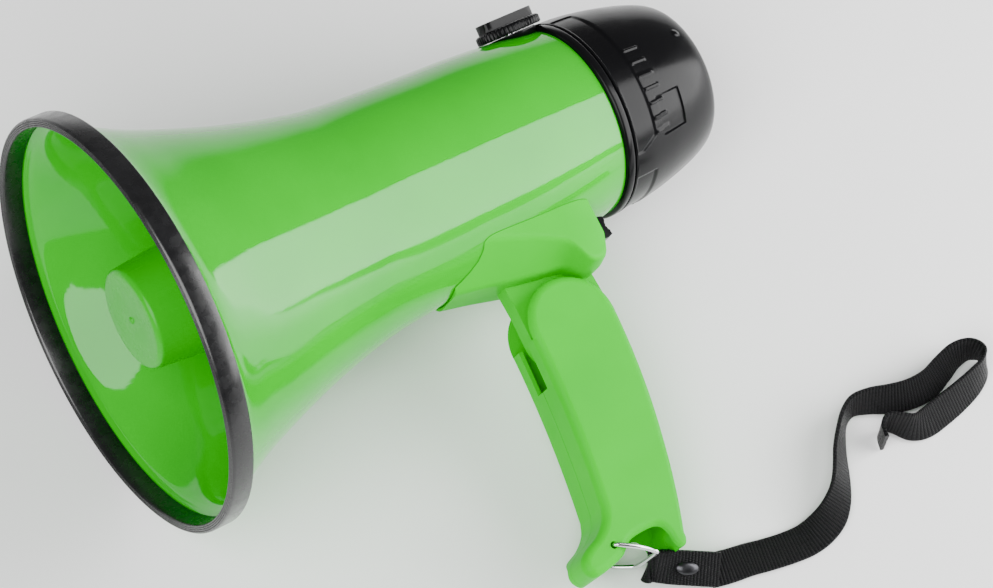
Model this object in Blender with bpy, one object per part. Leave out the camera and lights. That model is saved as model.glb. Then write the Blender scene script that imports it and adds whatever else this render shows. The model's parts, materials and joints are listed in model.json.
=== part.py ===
"""Battery megaphone with a folding pistol grip and a webbing wrist strap.

Design axes, in which every piece is drawn: X runs along the horn from the mouth
(X = 0) to the rear cap, Y points to the horn's top, away from the grip, and Z to
the megaphone's left side. The "resting_pose" empty then lays the whole thing on
its right side on a table, where +Z is up.
"""
import math

import bmesh
import bpy
from mathutils import Matrix, Vector

MM = 0.001

# Driving dimensions, in millimetres.
RIM_RADIUS = 80.0
RIM_BORE = 76.4
RIM_DEPTH = 8.5
HORN_WALL = 2.0
SEAM_X = 204.0
CAP_FRONT_X = 208.3
CAP_END_X = 257.5
CAP_RADIUS = 40.2
GAP = 0.3

# Outer radius of the green horn along X, from behind the rim to the seam.
HORN_OUTLINE = (
    (10.0, 75.4), (14.0, 72.6), (20.5, 69.0), (32.0, 63.8), (48.0, 58.1), (66.0, 52.5),
    (86.0, 47.6), (106.0, 44.4), (140.0, 42.6), (165.0, 41.8), (186.0, 40.4), (SEAM_X, 38.6),
)

REFLECTOR_FRONT_X = 8.4
REFLECTOR_RADIUS = 19.5
BAFFLE_X = 84.0
TUBE_BORE = 8.0

CELL_RADIUS = 13.1
CELL_LENGTH = 50.0
CELL_FRONT_X = 131.0

KNOB_X = 198.0
KNOB_ANGLE = math.radians(15.0)
KNOB_RADIUS = 13.2
KNOB_SEAT = 40.7

PIVOT = (157.0, -73.0)
PIVOT_RADIUS = 18.5
GRIP_HALF_WIDTH = 13.0
GRIP_WALL = 2.2
TONGUE_HALF_WIDTH = 4.0
RING_HOLE = (123.4, -153.2)
RING_WIRE = 0.9
ROCKER_AXIS = (185.0, -46.2)

# Where the rim and the cap touch the table, as (X, radius), and the grip's low corner.
RIM_CONTACT = (RIM_DEPTH, RIM_RADIUS)
CAP_CONTACT = (236.0, 37.0)
GRIP_CORNER = (150.0, -164.0, -12.7)

# The wrist strap lies on the table, in world axes and millimetres: its sewn tab runs
# from the ring to TAB_END, and the strap's centre line follows STRAP_ROUTE from there.
TAB_START = (9.2, -121.3, 11.2)
TAB_END = (28.2, -132.9, 6.0)
TAB_WIDE = Vector((0.48, 0.74, 0.47))
TAB_THICKNESS = 4.0
STRAP_WIDTH = 13.0
RIVET_RADIUS = 2.0
RIVET_HEAD = 4.4
STRAP_TUBE_RADIUS = 1.5
STRAP_ROUTE = (
    (30.2, -133.6, 5.2), (36.0, -134.8, 3.2), (43.0, -136.2, 2.2), (50.0, -137.8, 1.8),
    (58.0, -139.9, 1.8), (66.0, -141.6, 2.0), (73.5, -141.8, 2.8), (80.0, -140.2, 4.4),
    (85.5, -136.8, 6.2), (90.5, -131.8, 7.3), (95.5, -126.6, 7.4), (100.5, -121.6, 7.4),
    (105.4, -115.8, 7.4), (109.0, -109.6, 7.4), (112.6, -104.6, 7.4), (118.0, -103.2, 7.4),
    (125.0, -107.4, 7.4), (133.0, -110.8, 7.4), (142.0, -111.6, 7.3), (152.0, -111.2, 7.2),
    (162.0, -111.4, 7.2), (170.0, -113.2, 7.2), (172.8, -117.4, 7.2), (169.0, -121.6, 7.2),
    (160.0, -125.2, 7.2), (150.0, -127.6, 7.2), (140.0, -129.4, 7.2), (130.6, -130.4, 7.2),
    (124.8, -127.6, 7.2), (125.2, -121.8, 7.2), (121.6, -117.0, 7.2), (116.2, -117.8, 7.2),
    (112.6, -121.4, 7.2),
)


# ---------------------------------------------------------------- helpers

def clear_scene():
    for thing in list(bpy.data.objects):
        bpy.data.objects.remove(thing)


def coat(piece, colour, roughness, metallic=0.0):
    """Give the piece its own material."""
    paint = bpy.data.materials.new(piece.name + "_finish")
    paint.use_nodes = True
    shader = paint.node_tree.nodes["Principled BSDF"]
    shader.inputs["Base Color"].default_value = (*colour, 1.0)
    shader.inputs["Roughness"].default_value = roughness
    shader.inputs["Metallic"].default_value = metallic
    piece.data.materials.clear()
    piece.data.materials.append(paint)


def finish_piece(piece, colour, roughness, metallic=0.0):
    """Give the piece its own material and smooth shading with crisp edges."""
    coat(piece, colour, roughness, metallic)
    piece.data.shade_smooth()
    piece.data.set_sharp_from_angle(angle=math.radians(35.0))
    return piece


def new_piece(name, bm):
    """Turn a bmesh drawn in millimetres into an object in metres."""
    bmesh.ops.recalc_face_normals(bm, faces=bm.faces)
    bmesh.ops.scale(bm, vec=(MM, MM, MM), verts=bm.verts)
    mesh = bpy.data.meshes.new(name)
    bm.to_mesh(mesh)
    bm.free()
    piece = bpy.data.objects.new(name, mesh)
    bpy.context.scene.collection.objects.link(piece)
    return piece


def combine(piece, tool, operation):
    """Add, cut or intersect with the tool, keep the result and drop the tool."""
    change = piece.modifiers.new("shape", "BOOLEAN")
    change.operation = operation
    change.solver = "EXACT"
    change.object = tool
    bpy.context.view_layer.update()
    graph = bpy.context.evaluated_depsgraph_get()
    result = bpy.data.meshes.new_from_object(piece.evaluated_get(graph))
    piece.modifiers.remove(change)
    piece.data = result
    bpy.data.objects.remove(tool)
    return piece


def turned(name, outline, sides=40):
    """Turn (x, radius) points about the X axis; a radius of 0 closes on the axis."""
    bm = bmesh.new()
    rings = []
    for x, radius in outline:
        if radius == 0.0:
            rings.append([bm.verts.new((x, 0.0, 0.0))])
            continue
        ring = []
        for step in range(sides):
            angle = 2.0 * math.pi * step / sides
            ring.append(bm.verts.new((x, radius * math.cos(angle), radius * math.sin(angle))))
        rings.append(ring)
    closed_on_axis = len(rings[0]) == 1
    pairs = list(zip(rings, rings[1:]))
    if not closed_on_axis:
        pairs.append((rings[-1], rings[0]))
    for near, far in pairs:
        for step in range(sides):
            after = (step + 1) % sides
            if len(near) == 1:
                bm.faces.new((near[0], far[step], far[after]))
            elif len(far) == 1:
                bm.faces.new((near[after], near[step], far[0]))
            else:
                bm.faces.new((near[step], far[step], far[after], near[after]))
    return new_piece(name, bm)


def extruded(name, outline, low, high):
    """Extrude an (x, y) outline along Z from low to high."""
    bm = bmesh.new()
    base = bm.faces.new([bm.verts.new((x, y, low)) for x, y in outline])
    grown = bmesh.ops.extrude_face_region(bm, geom=[base])
    lifted = [item for item in grown["geom"] if isinstance(item, bmesh.types.BMVert)]
    bmesh.ops.translate(bm, vec=(0.0, 0.0, high - low), verts=lifted)
    return new_piece(name, bm)


def block(name, low, high):
    """A plain block between two corners."""
    bm = bmesh.new()
    bmesh.ops.create_cube(bm, size=1.0)
    size = Vector(high) - Vector(low)
    bmesh.ops.scale(bm, vec=size, verts=bm.verts)
    bmesh.ops.translate(bm, vec=(Vector(high) + Vector(low)) / 2.0, verts=bm.verts)
    return new_piece(name, bm)


def rod(name, start, end, radius, sides=16):
    """A straight round rod between two points."""
    bm = bmesh.new()
    along = Vector(end) - Vector(start)
    turn = along.to_track_quat("Z", "Y").to_matrix().to_4x4()
    place = Matrix.Translation((Vector(start) + Vector(end)) / 2.0) @ turn
    bmesh.ops.create_cone(bm, cap_ends=True, segments=sides, radius1=radius,
                          radius2=radius, depth=along.length, matrix=place)
    return new_piece(name, bm)


def wire(name, points, radius, closed=False, resolution=2):
    """A round wire or tube through the points, in millimetres."""
    curve = bpy.data.curves.new(name, "CURVE")
    curve.dimensions = "3D"
    curve.bevel_depth = radius * MM
    curve.bevel_resolution = resolution
    curve.use_fill_caps = not closed
    spline = curve.splines.new("POLY")
    spline.points.add(len(points) - 1)
    for point, place in zip(spline.points, points):
        point.co = (place[0] * MM, place[1] * MM, place[2] * MM, 1.0)
    spline.use_cyclic_u = closed
    piece = bpy.data.objects.new(name, curve)
    bpy.context.scene.collection.objects.link(piece)
    return piece


def as_mesh(piece):
    """Replace a curve object by the mesh that it draws."""
    bpy.context.view_layer.update()
    graph = bpy.context.evaluated_depsgraph_get()
    mesh = bpy.data.meshes.new_from_object(piece.evaluated_get(graph))
    name = piece.name
    bpy.data.objects.remove(piece)
    solid = bpy.data.objects.new(name, mesh)
    bpy.context.scene.collection.objects.link(solid)
    return solid


def round_edges(piece, width, segments, choose):
    """Round the edges whose two end points both satisfy choose(x, y, z)."""
    bm = bmesh.new()
    bm.from_mesh(piece.data)
    edges = []
    for edge in bm.edges:
        ends = [choose(*(corner.co / MM)) for corner in edge.verts]
        if all(ends):
            edges.append(edge)
    bmesh.ops.bevel(bm, geom=edges, offset=width * MM, segments=segments,
                    profile=0.5, affect="EDGES", clamp_overlap=True)
    bm.to_mesh(piece.data)
    bm.free()
    return piece


def bow(start, end, bulge, steps):
    """Points on an arc from start to end that stands out by bulge to its right."""
    a, b = Vector(start), Vector(end)
    side = Vector((b.y - a.y, a.x - b.x)).normalized()
    points = []
    for step in range(steps + 1):
        t = step / steps
        swell = bulge * 4.0 * t * (1.0 - t)
        points.append(tuple(a.lerp(b, t) + side * swell))
    return points


def arc(centre, radius, first, last, steps):
    """Points on a circle arc, angles in degrees."""
    points = []
    for step in range(steps + 1):
        angle = math.radians(first + (last - first) * step / steps)
        points.append((centre[0] + radius * math.cos(angle),
                       centre[1] + radius * math.sin(angle)))
    return points


def horn_radius(x):
    """Outer radius of the horn at x, straight between the outline's points."""
    for (x0, r0), (x1, r1) in zip(HORN_OUTLINE, HORN_OUTLINE[1:]):
        if x <= x1:
            return r0 + (r1 - r0) * (x - x0) / (x1 - x0)
    return HORN_OUTLINE[-1][1]


def radial(x, angle, height, across=0.0):
    """A point on the horn's side: angle from the top towards +Z, height from the axis."""
    return (x, height * math.cos(angle) - across * math.sin(angle),
            height * math.sin(angle) + across * math.cos(angle))


def hang_on(piece, parent, origin):
    """Put the piece's origin at a point and parent it there."""
    place = Vector(origin) * MM
    piece.data.transform(Matrix.Translation(-place))
    piece.location = place - parent.location
    piece.parent = parent
    return piece


def new_empty(name, origin=(0.0, 0.0, 0.0), parent=None):
    """An empty in design axes; its parent, if any, is not turned yet."""
    marker = bpy.data.objects.new(name, None)
    bpy.context.scene.collection.objects.link(marker)
    marker.location = Vector(origin) * MM
    marker.parent = parent
    return marker


GREEN = (0.03, 0.48, 0.0)
BLACK = (0.012, 0.012, 0.014)
STEEL = (0.62, 0.62, 0.64)


# ---------------------------------------------------------------- horn

def make_bell_horn():
    """The green outer shell with its lip, which seats in the rim guard's channel."""
    outer = [(2.6, 78.7), (9.4, 78.7), *HORN_OUTLINE]
    inner = [(x, r - HORN_WALL) for x, r in reversed(HORN_OUTLINE)]
    inner += [(9.0, 77.7), (2.6, 77.7)]
    horn = turned("bell_horn", outer + inner)
    for x in (140.0, 168.0):
        for z in (-12.0, 12.0):
            hole = rod("hole", (x, -33.0, z), (x, -46.0, z), 1.9, sides=12)
            combine(horn, hole, "DIFFERENCE")
    shaft_hole = rod("hole", radial(KNOB_X, KNOB_ANGLE, 34.0), radial(KNOB_X, KNOB_ANGLE, 44.0), 4.2)
    combine(horn, shaft_hole, "DIFFERENCE")
    return finish_piece(horn, GREEN, 0.14)


def make_rim_guard():
    """The black rubber ring with a channel for the horn's lip."""
    outline = [
        (0.0, 77.2), (0.0, 79.0), (1.0, RIM_RADIUS), (RIM_DEPTH, RIM_RADIUS), (RIM_DEPTH, 79.0),
        (2.3, 79.0), (2.3, 77.4), (8.2, 77.4), (8.2, RIM_BORE), (0.8, RIM_BORE),
    ]
    return finish_piece(turned("rim_guard", outline, sides=48), BLACK, 0.55)


def make_reflector_cup():
    """The closed bullet in the mouth that turns the sound round, with its moulding nub."""
    front, radius, wall = REFLECTOR_FRONT_X, REFLECTOR_RADIUS, 1.8
    outline = [(front - 0.5, 0.0), (front - 0.5, 1.4), (front, 1.7), (front, radius - 2.5)]
    outline += [(front + 0.7, radius - 0.7), (front + 2.5, radius)]
    outline += [(front + 22.0, 21.4), (front + 42.0, 23.4), (front + 60.0, 26.2)]
    outline += [(front + 60.0, 26.2 - wall), (front + 42.0, 23.4 - wall)]
    outline += [(front + 22.0, 21.4 - wall), (front + 4.0, radius - wall), (front + wall, 15.0)]
    outline += [(front + wall, 0.0)]
    return finish_piece(turned("reflector_cup", outline, sides=32), GREEN, 0.3)


def make_throat_tube():
    """The tube that leads the driver's sound forward, with three fins for the reflector."""
    bore = TUBE_BORE
    outline = [(26.0, bore + 3.6), (88.0, bore + 1.6), (88.0, bore), (26.0, bore + 2.0)]
    tube = turned("throat_tube", outline, sides=24)
    for step in range(3):
        angle = math.radians(90.0 + 120.0 * step)
        fin = block("fin", (13.0, bore + 0.9, -0.9), (44.0, 17.2, 0.9))
        fin.data.transform(Matrix.Rotation(angle, 4, "X"))
        combine(tube, fin, "UNION")
    return finish_piece(tube, GREEN, 0.35)


def make_horn_baffle():
    """The annular wall that closes the horn behind the reflector."""
    edge = horn_radius(BAFFLE_X + 2.0) - HORN_WALL - GAP
    neck = TUBE_BORE + 1.6 + 0.1 + GAP
    outline = [(BAFFLE_X, neck), (BAFFLE_X, edge), (BAFFLE_X + 2.0, edge), (BAFFLE_X + 2.0, neck)]
    return finish_piece(turned("horn_baffle", outline, sides=32), GREEN, 0.35)


# ---------------------------------------------------------------- driver

def make_driver():
    """Front cover, diaphragm, voice coil, magnet and yoke of the compression driver."""
    cover = turned("driver_cover", [
        (88.4, 8.2), (88.4, 24.0), (94.0, 36.0), (102.0, 36.0), (102.0, 33.6),
        (95.0, 33.6), (90.4, 22.0), (90.4, 8.2)], sides=24)
    finish_piece(cover, BLACK, 0.5)
    dome = turned("driver_diaphragm", [
        (93.0, 0.0), (94.6, 9.0), (99.0, 14.0), (99.0, 32.0), (99.4, 32.0),
        (99.4, 13.6), (95.0, 8.7), (93.4, 0.0)], sides=24)
    finish_piece(dome, (0.32, 0.2, 0.08), 0.5)
    coil = turned("voice_coil", [(99.8, 12.4), (99.8, 13.4), (106.0, 13.4), (106.0, 12.4)], sides=24)
    finish_piece(coil, (0.55, 0.22, 0.08), 0.35, 0.8)
    magnet = turned("driver_magnet", [(103.0, 15.0), (103.0, 31.0), (113.0, 31.0), (113.0, 15.0)],
                    sides=24)
    finish_piece(magnet, (0.05, 0.05, 0.055), 0.6, 0.2)
    yoke = turned("driver_yoke", [
        (101.0, 0.0), (101.0, 11.8), (113.4, 11.8), (113.4, 31.0), (117.0, 31.0), (117.0, 0.0)],
        sides=24)
    finish_piece(yoke, STEEL, 0.3, 1.0)
    return [cover, dome, coil, magnet, yoke]


# ---------------------------------------------------------------- power and electronics

def cell_centres():
    reach = CELL_RADIUS + 0.25
    return [(reach, reach), (-reach, reach), (-reach, -reach), (reach, -reach)]


def make_cells():
    """Four C cells side by side, each with its raised positive pip."""
    cells = []
    pip = 1.6
    for number, (y, z) in enumerate(cell_centres(), start=1):
        cell = turned(f"battery_{number}", [
            (CELL_FRONT_X, 0.0), (CELL_FRONT_X, CELL_RADIUS - 0.8), (CELL_FRONT_X + 0.8, CELL_RADIUS),
            (CELL_FRONT_X + CELL_LENGTH - pip, CELL_RADIUS), (CELL_FRONT_X + CELL_LENGTH - pip, 3.2),
            (CELL_FRONT_X + CELL_LENGTH, 3.2), (CELL_FRONT_X + CELL_LENGTH, 0.0)], sides=16)
        cell.data.transform(Matrix.Translation((0.0, y * MM, z * MM)))
        cells.append(finish_piece(cell, (0.35, 0.2, 0.06), 0.3, 0.6))
    return cells


def make_battery_tray():
    """The open sleeve round the cells, with a front wall for the spring plate."""
    start = CELL_FRONT_X - 8.0
    outline = [(start, 0.0), (start, 34.0), (184.0, 34.0), (184.0, 32.6), (start + 1.6, 32.6),
               (start + 1.6, 0.0)]
    return finish_piece(turned("battery_tray", outline, sides=32), BLACK, 0.5)


def make_contacts():
    """Front and rear contact plates and the four contact springs."""
    start = CELL_FRONT_X - 8.0
    front = turned("contact_plate_front", [(start + 2.0, 0.0), (start + 2.0, 28.0),
                                           (start + 2.5, 28.0), (start + 2.5, 0.0)], sides=24)
    rear_x = CELL_FRONT_X + CELL_LENGTH + GAP
    rear = turned("contact_plate_rear", [(rear_x, 0.0), (rear_x, 30.0),
                                         (rear_x + 0.6, 30.0), (rear_x + 0.6, 0.0)], sides=24)
    springs = []
    turns, per_turn, wire_radius = 2.5, 8, 0.45
    first, last = start + 2.8 + wire_radius, CELL_FRONT_X - GAP - wire_radius
    steps = int(turns * per_turn)
    for number, (y, z) in enumerate(cell_centres(), start=1):
        points = []
        for step in range(steps + 1):
            t = step / steps
            angle = 2.0 * math.pi * turns * t
            reach = 6.0 - 2.5 * t
            points.append((first + (last - first) * t, y + reach * math.cos(angle),
                           z + reach * math.sin(angle)))
        springs.append(as_mesh(wire(f"battery_spring_{number}", points, wire_radius, resolution=1)))
    return [finish_piece(piece, STEEL, 0.3, 1.0) for piece in (front, rear, *springs)]


def make_board():
    """The amplifier board over the cells, its chip, its capacitors and the volume control."""
    board = block("amp_board", (136.0, 34.6, -13.0), (176.0, 36.2, 13.0))
    finish_piece(board, (0.02, 0.12, 0.04), 0.4)
    chip = block("amp_chip", (156.0, 36.5, -5.0), (168.0, 38.4, 5.0))
    finish_piece(chip, BLACK, 0.4)
    cans = []
    for number, x in enumerate((144.0, 151.0), start=1):
        can = rod(f"board_capacitor_{number}", (x, 36.5, 0.0), (x, 38.8, 0.0), 3.0, sides=12)
        cans.append(finish_piece(can, (0.05, 0.06, 0.12), 0.35))
    body = rod("volume_pot", radial(KNOB_X, KNOB_ANGLE, 30.5), radial(KNOB_X, KNOB_ANGLE, 34.5),
               4.0, sides=16)
    shaft = rod("shaft", radial(KNOB_X, KNOB_ANGLE, 32.0), radial(KNOB_X, KNOB_ANGLE, 42.6),
                2.6, sides=16)
    combine(body, shaft, "UNION")
    finish_piece(body, STEEL, 0.35, 0.9)
    return [board, chip, *cans, body]


def make_volume_knob():
    """A round knob with a raised finger bar, turned about its radial shaft."""
    lift = KNOB_SEAT
    disc = rod("volume_knob", radial(KNOB_X, KNOB_ANGLE, lift), radial(KNOB_X, KNOB_ANGLE, lift + 3.8),
               KNOB_RADIUS, sides=32)
    bar = block("bar", (KNOB_X - 12.0, lift + 3.0, -4.2), (KNOB_X + 12.0, lift + 7.4, 4.2))
    bar.data.transform(Matrix.Rotation(KNOB_ANGLE, 4, "X"))
    combine(disc, bar, "UNION")
    bore = rod("bore", radial(KNOB_X, KNOB_ANGLE, lift - 1.0), radial(KNOB_X, KNOB_ANGLE, 43.0),
               2.9, sides=16)
    combine(disc, bore, "DIFFERENCE")
    return finish_piece(disc, BLACK, 0.35)


def make_knob_seat():
    """The fixed collar under the knob, shaped to the horn on its underside."""
    seat = rod("knob_seat", radial(KNOB_X, KNOB_ANGLE, 34.0),
               radial(KNOB_X, KNOB_ANGLE, KNOB_SEAT - GAP), 11.8, sides=32)
    combine(seat, horn_body("horn_core", GAP), "DIFFERENCE")
    combine(seat, block("behind", (SEAM_X - 0.4, 20.0, -20.0), (230.0, 60.0, 40.0)), "DIFFERENCE")
    bore = rod("bore", radial(KNOB_X, KNOB_ANGLE, 34.0), radial(KNOB_X, KNOB_ANGLE, 43.0), 4.2)
    combine(seat, bore, "DIFFERENCE")
    return finish_piece(seat, BLACK, 0.45)


def horn_body(name, extra):
    """A solid of the horn's outer shape, swollen by extra, to cut neighbours with."""
    outline = [(60.0, 0.0)]
    outline += [(x, r + extra) for x, r in HORN_OUTLINE if x > 60.0]
    outline += [(SEAM_X + 8.0, HORN_OUTLINE[-1][1] + extra), (SEAM_X + 8.0, 0.0)]
    return turned(name, outline)


# ---------------------------------------------------------------- rear cap

def make_seam_ring():
    """The black ring between horn and cap, with the sleeve that the cap turns on."""
    outline = [
        (SEAM_X + GAP, 35.4), (SEAM_X + GAP, 39.6), (SEAM_X + 0.9, 40.3), (207.4, 40.3),
        (208.0, 39.8), (208.0, 37.4), (214.0, 37.4), (214.0, 35.4)]
    return finish_piece(turned("seam_ring", outline), BLACK, 0.3)


def make_rear_cap():
    """The twist-off cap: a convex skirt, a rounded shoulder and a dished end with a mouth hole."""
    outer = [
        (CAP_FRONT_X, CAP_RADIUS), (218.0, 39.8), (228.0, 38.5), CAP_CONTACT, (244.0, 35.1),
        (250.0, 33.2), (254.2, 31.3), (256.6, 29.2), (CAP_END_X, 26.4)]
    dish = [(CAP_END_X, 24.6), (255.6, 23.0), (255.0, 9.4)]
    inner = [(252.8, 9.4), (252.8, 23.0), (250.6, 29.6), (244.0, 33.0), (228.0, 36.4),
             (216.0, 38.0), (CAP_FRONT_X, 38.0)]
    return finish_piece(turned("rear_cap", outer + dish + inner), BLACK, 0.3)


def make_microphone():
    """Slotted grille, rubber boot and electret capsule in the cap's end."""
    grille = turned("mic_grille", [(253.2, 0.0), (253.2, 9.0), (254.8, 9.0), (254.8, 0.0)], sides=24)
    for z in (-4.5, 0.0, 4.5):
        slot = block("slot", (252.0, -5.0, z - 0.8), (256.0, 5.0, z + 0.8))
        combine(grille, slot, "DIFFERENCE")
    finish_piece(grille, BLACK, 0.4)
    boot = turned("mic_boot", [(244.0, 5.2), (244.0, 8.0), (252.4, 8.0), (252.4, 5.2)], sides=20)
    finish_piece(boot, BLACK, 0.8)
    capsule = turned("mic_capsule", [(245.0, 0.0), (245.0, 4.8), (251.6, 4.8), (251.6, 0.0)], sides=20)
    finish_piece(capsule, STEEL, 0.35, 1.0)
    return [grille, boot, capsule]


# ---------------------------------------------------------------- saddle and rocker

def make_saddle():
    """The wedge under the horn that carries the grip's tongue.

    Each station lists x, the side wall's half width and top, the crease, and the keel.
    """
    stations = (
        (121.0, 30.0, -25.0, 27.0, -31.5, 9.0, -44.2),
        (134.0, 29.0, -25.0, 27.5, -33.5, 10.0, -46.8),
        (146.0, 27.5, -25.0, 26.5, -37.5, 11.0, -49.6),
        (156.0, 26.5, -25.0, 25.5, -41.5, 11.5, -51.4),
        (166.0, 25.5, -25.0, 24.5, -47.6, 12.0, -53.2),
        (171.0, 25.0, -25.0, 23.5, -56.5, 12.5, -58.0),
        (178.5, 24.0, -25.0, 21.5, -57.0, 12.5, -58.6),
        (183.4, 22.5, -25.0, 19.5, -50.0, 12.0, -51.0),
    )
    bm = bmesh.new()
    rings = []
    for x, side, top, crease_z, crease_y, keel_z, keel_y in stations:
        half = [(side, top), (crease_z, crease_y), (keel_z, keel_y)]
        section = half + [(-z, y) for z, y in reversed(half)]
        rings.append([bm.verts.new((x, y, z)) for z, y in section])
    count = len(rings[0])
    for near, far in zip(rings, rings[1:]):
        for step in range(count):
            after = (step + 1) % count
            bm.faces.new((near[step], far[step], far[after], near[after]))
    bm.faces.new(rings[0])
    bm.faces.new(rings[-1])
    saddle = new_piece("saddle_bracket", bm)
    tongue = extruded("tongue", tongue_outline(), -TONGUE_HALF_WIDTH, TONGUE_HALF_WIDTH)
    combine(saddle, tongue, "UNION")
    combine(saddle, horn_body("horn_core", GAP), "DIFFERENCE")
    for low, high in ((-15.0, -TONGUE_HALF_WIDTH), (TONGUE_HALF_WIDTH, 15.0)):
        recess = extruded("recess", arc(PIVOT, PIVOT_RADIUS + 1.0, 0.0, 337.5, 15), low, high)
        combine(saddle, recess, "DIFFERENCE")
    pin_hole = rod("hole", (*PIVOT, -8.0), (*PIVOT, 8.0), 3.3)
    combine(saddle, pin_hole, "DIFFERENCE")
    pocket = block("pocket", (173.5, -51.6, -17.6), (186.0, -41.0, 17.6))
    combine(saddle, pocket, "DIFFERENCE")
    for x in (140.0, 168.0):
        for z in (-12.0, 12.0):
            boss_hole = rod("hole", (x, -36.0, z), (x, -45.4, z), 1.9, sides=12)
            combine(saddle, boss_hole, "DIFFERENCE")
    return finish_piece(saddle, GREEN, 0.16)


def tongue_outline():
    """Side view of the plate that reaches down between the grip's cheeks."""
    px, py = PIVOT
    outline = arc(PIVOT, 15.6, 180.0, 360.0, 14)
    outline += [(px + 18.4, py + 5.0), (px + 21.5, py + 6.5), (px + 21.5, -40.0)]
    outline += [(px - 14.0, -40.0), (px - 14.4, py + 14.0)]
    return outline


def make_talk_switch():
    """The wide thumb rocker at the saddle's rear and the switch body behind it."""
    x, y = ROCKER_AXIS
    rocker = extruded("talk_rocker", [
        (x - 1.6, y - 4.4), (x + 1.2, y - 4.6), (x + 3.4, y - 3.8), (x + 2.3, y),
        (x + 3.4, y + 3.8), (x + 1.2, y + 4.6), (x - 1.6, y + 4.4)], -16.6, 16.6)
    finish_piece(rocker, BLACK, 0.4)
    body = block("switch_body", (175.0, -50.4, -10.0), (x - 3.2, -43.0, 10.0))
    return [rocker, finish_piece(body, (0.05, 0.05, 0.05), 0.5)]


def make_saddle_screws():
    """Four screws from inside the horn into the saddle."""
    screws = []
    for x in (140.0, 168.0):
        seat = GAP - math.sqrt((horn_radius(x) - HORN_WALL) ** 2 - 14.8 ** 2)
        for z in (-12.0, 12.0):
            name = f"saddle_screw_{len(screws) + 1}"
            screw = rod(name, (x, seat + 0.4, z), (x, -45.0, z), 1.5, sides=10)
            head = rod("head", (x, seat + 1.6, z), (x, seat, z), 2.8, sides=10)
            screws.append(finish_piece(combine(screw, head, "UNION"), STEEL, 0.3, 1.0))
    return screws


# ---------------------------------------------------------------- grip

def grip_outline():
    """Side view of the grip: round top, bowed back, notched foot and flared toe."""
    px, py = PIVOT
    outline = arc(PIVOT, PIVOT_RADIUS, 0.0, 180.0, 16)
    outline += bow((px - PIVOT_RADIUS, py), (127.6, -139.0), -1.2, 5)[1:]
    outline += [(125.0, -143.5), (120.0, -147.3), (113.6, -149.8), (109.6, -152.6)]
    outline += [(108.4, -156.4), (110.2, -159.6), (114.0, -160.4), (125.0, -158.4)]
    outline += [(129.5, -155.4), (133.5, -154.2), (141.0, -154.2), (144.6, -155.6), (146.0, -159.0)]
    outline += [(146.2, -163.0), (147.4, -165.4), (149.8, -165.6), (151.4, -163.6)]
    outline += bow((151.8, -161.6), (px + PIVOT_RADIUS, py - 1.5), 3.9, 8)
    return outline


def grip_cavity():
    """Side view of the hollow inside the grip, open through the foot."""
    px, py = PIVOT
    reach = PIVOT_RADIUS - GRIP_WALL
    outline = [(px + reach, py + 8.0), (px + reach, py + 16.0), (px - reach, py + 16.0)]
    outline += bow((px - reach, py + 4.0), (130.0, -139.0), -1.0, 4)
    outline += [(128.6, -147.0), (128.6, -172.0), (148.4, -172.0)]
    outline += bow((149.2, -160.0), (px + reach, py), 3.8, 6)
    return outline


def make_grip_shell(name, side):
    """One half of the grip, drawn towards +Z and mirrored for the right half."""
    px, py = PIVOT
    wall = GRIP_HALF_WIDTH
    shell = extruded(name, grip_outline(), GAP / 2.0, wall)
    round_edges(shell, 4.0, 3, lambda x, y, z: z > wall - 0.01)
    combine(shell, extruded("hollow", grip_cavity(), -1.0, wall - GRIP_WALL), "DIFFERENCE")
    opening = block("opening", (px - 24.0, py + 1.0, -1.0), (px + 24.0, py + 24.0, wall - GRIP_WALL))
    combine(shell, opening, "DIFFERENCE")
    slot = block("slot", (px - 32.0, py - 17.0, -1.0), (px - 10.0, py + 3.0, TONGUE_HALF_WIDTH + 0.7))
    combine(shell, slot, "DIFFERENCE")
    boss = rod("boss", (px, py, 6.4), (px, py, wall - 1.0), 8.0, sides=20)
    combine(shell, boss, "UNION")
    combine(shell, rod("hole", (px, py, 5.0), (px, py, 11.4), 3.3), "DIFFERENCE")
    for x, y in grip_screw_places():
        if side > 0.0:
            tool = rod("boss", (x, y, GAP / 2.0), (x, y, wall - 1.0), 3.2, sides=12)
            combine(shell, tool, "UNION")
            combine(shell, rod("hole", (x, y, -1.0), (x, y, 8.0), 1.6, sides=12), "DIFFERENCE")
        else:
            tool = rod("boss", (x, y, GAP / 2.0), (x, y, wall - 1.0), 4.4, sides=12)
            combine(shell, tool, "UNION")
            combine(shell, rod("hole", (x, y, -1.0), (x, y, 14.0), 1.6, sides=12), "DIFFERENCE")
            combine(shell, rod("well", (x, y, 7.0), (x, y, 14.0), 3.0, sides=12), "DIFFERENCE")
    ring_hole = rod("hole", (*RING_HOLE, -1.0), (*RING_HOLE, 14.0), RING_WIRE + 0.5, sides=12)
    combine(shell, ring_hole, "DIFFERENCE")
    if side < 0.0:
        shell.data.transform(Matrix.Scale(-1.0, 4, (0.0, 0.0, 1.0)))
        shell.data.flip_normals()
    return finish_piece(shell, GREEN, 0.18)


def grip_screw_places():
    return ((155.0, -103.0), (147.0, -126.0), (118.0, -155.0))


def make_grip_screws():
    """Three screws from the right half into the left half."""
    screws = []
    for number, (x, y) in enumerate(grip_screw_places(), start=1):
        screw = rod(f"grip_screw_{number}", (x, y, -8.0), (x, y, 6.0), 1.25, sides=10)
        head = rod("head", (x, y, -9.0), (x, y, -7.3), 2.6, sides=12)
        screws.append(finish_piece(combine(screw, head, "UNION"), STEEL, 0.3, 1.0))
    return screws


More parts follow.
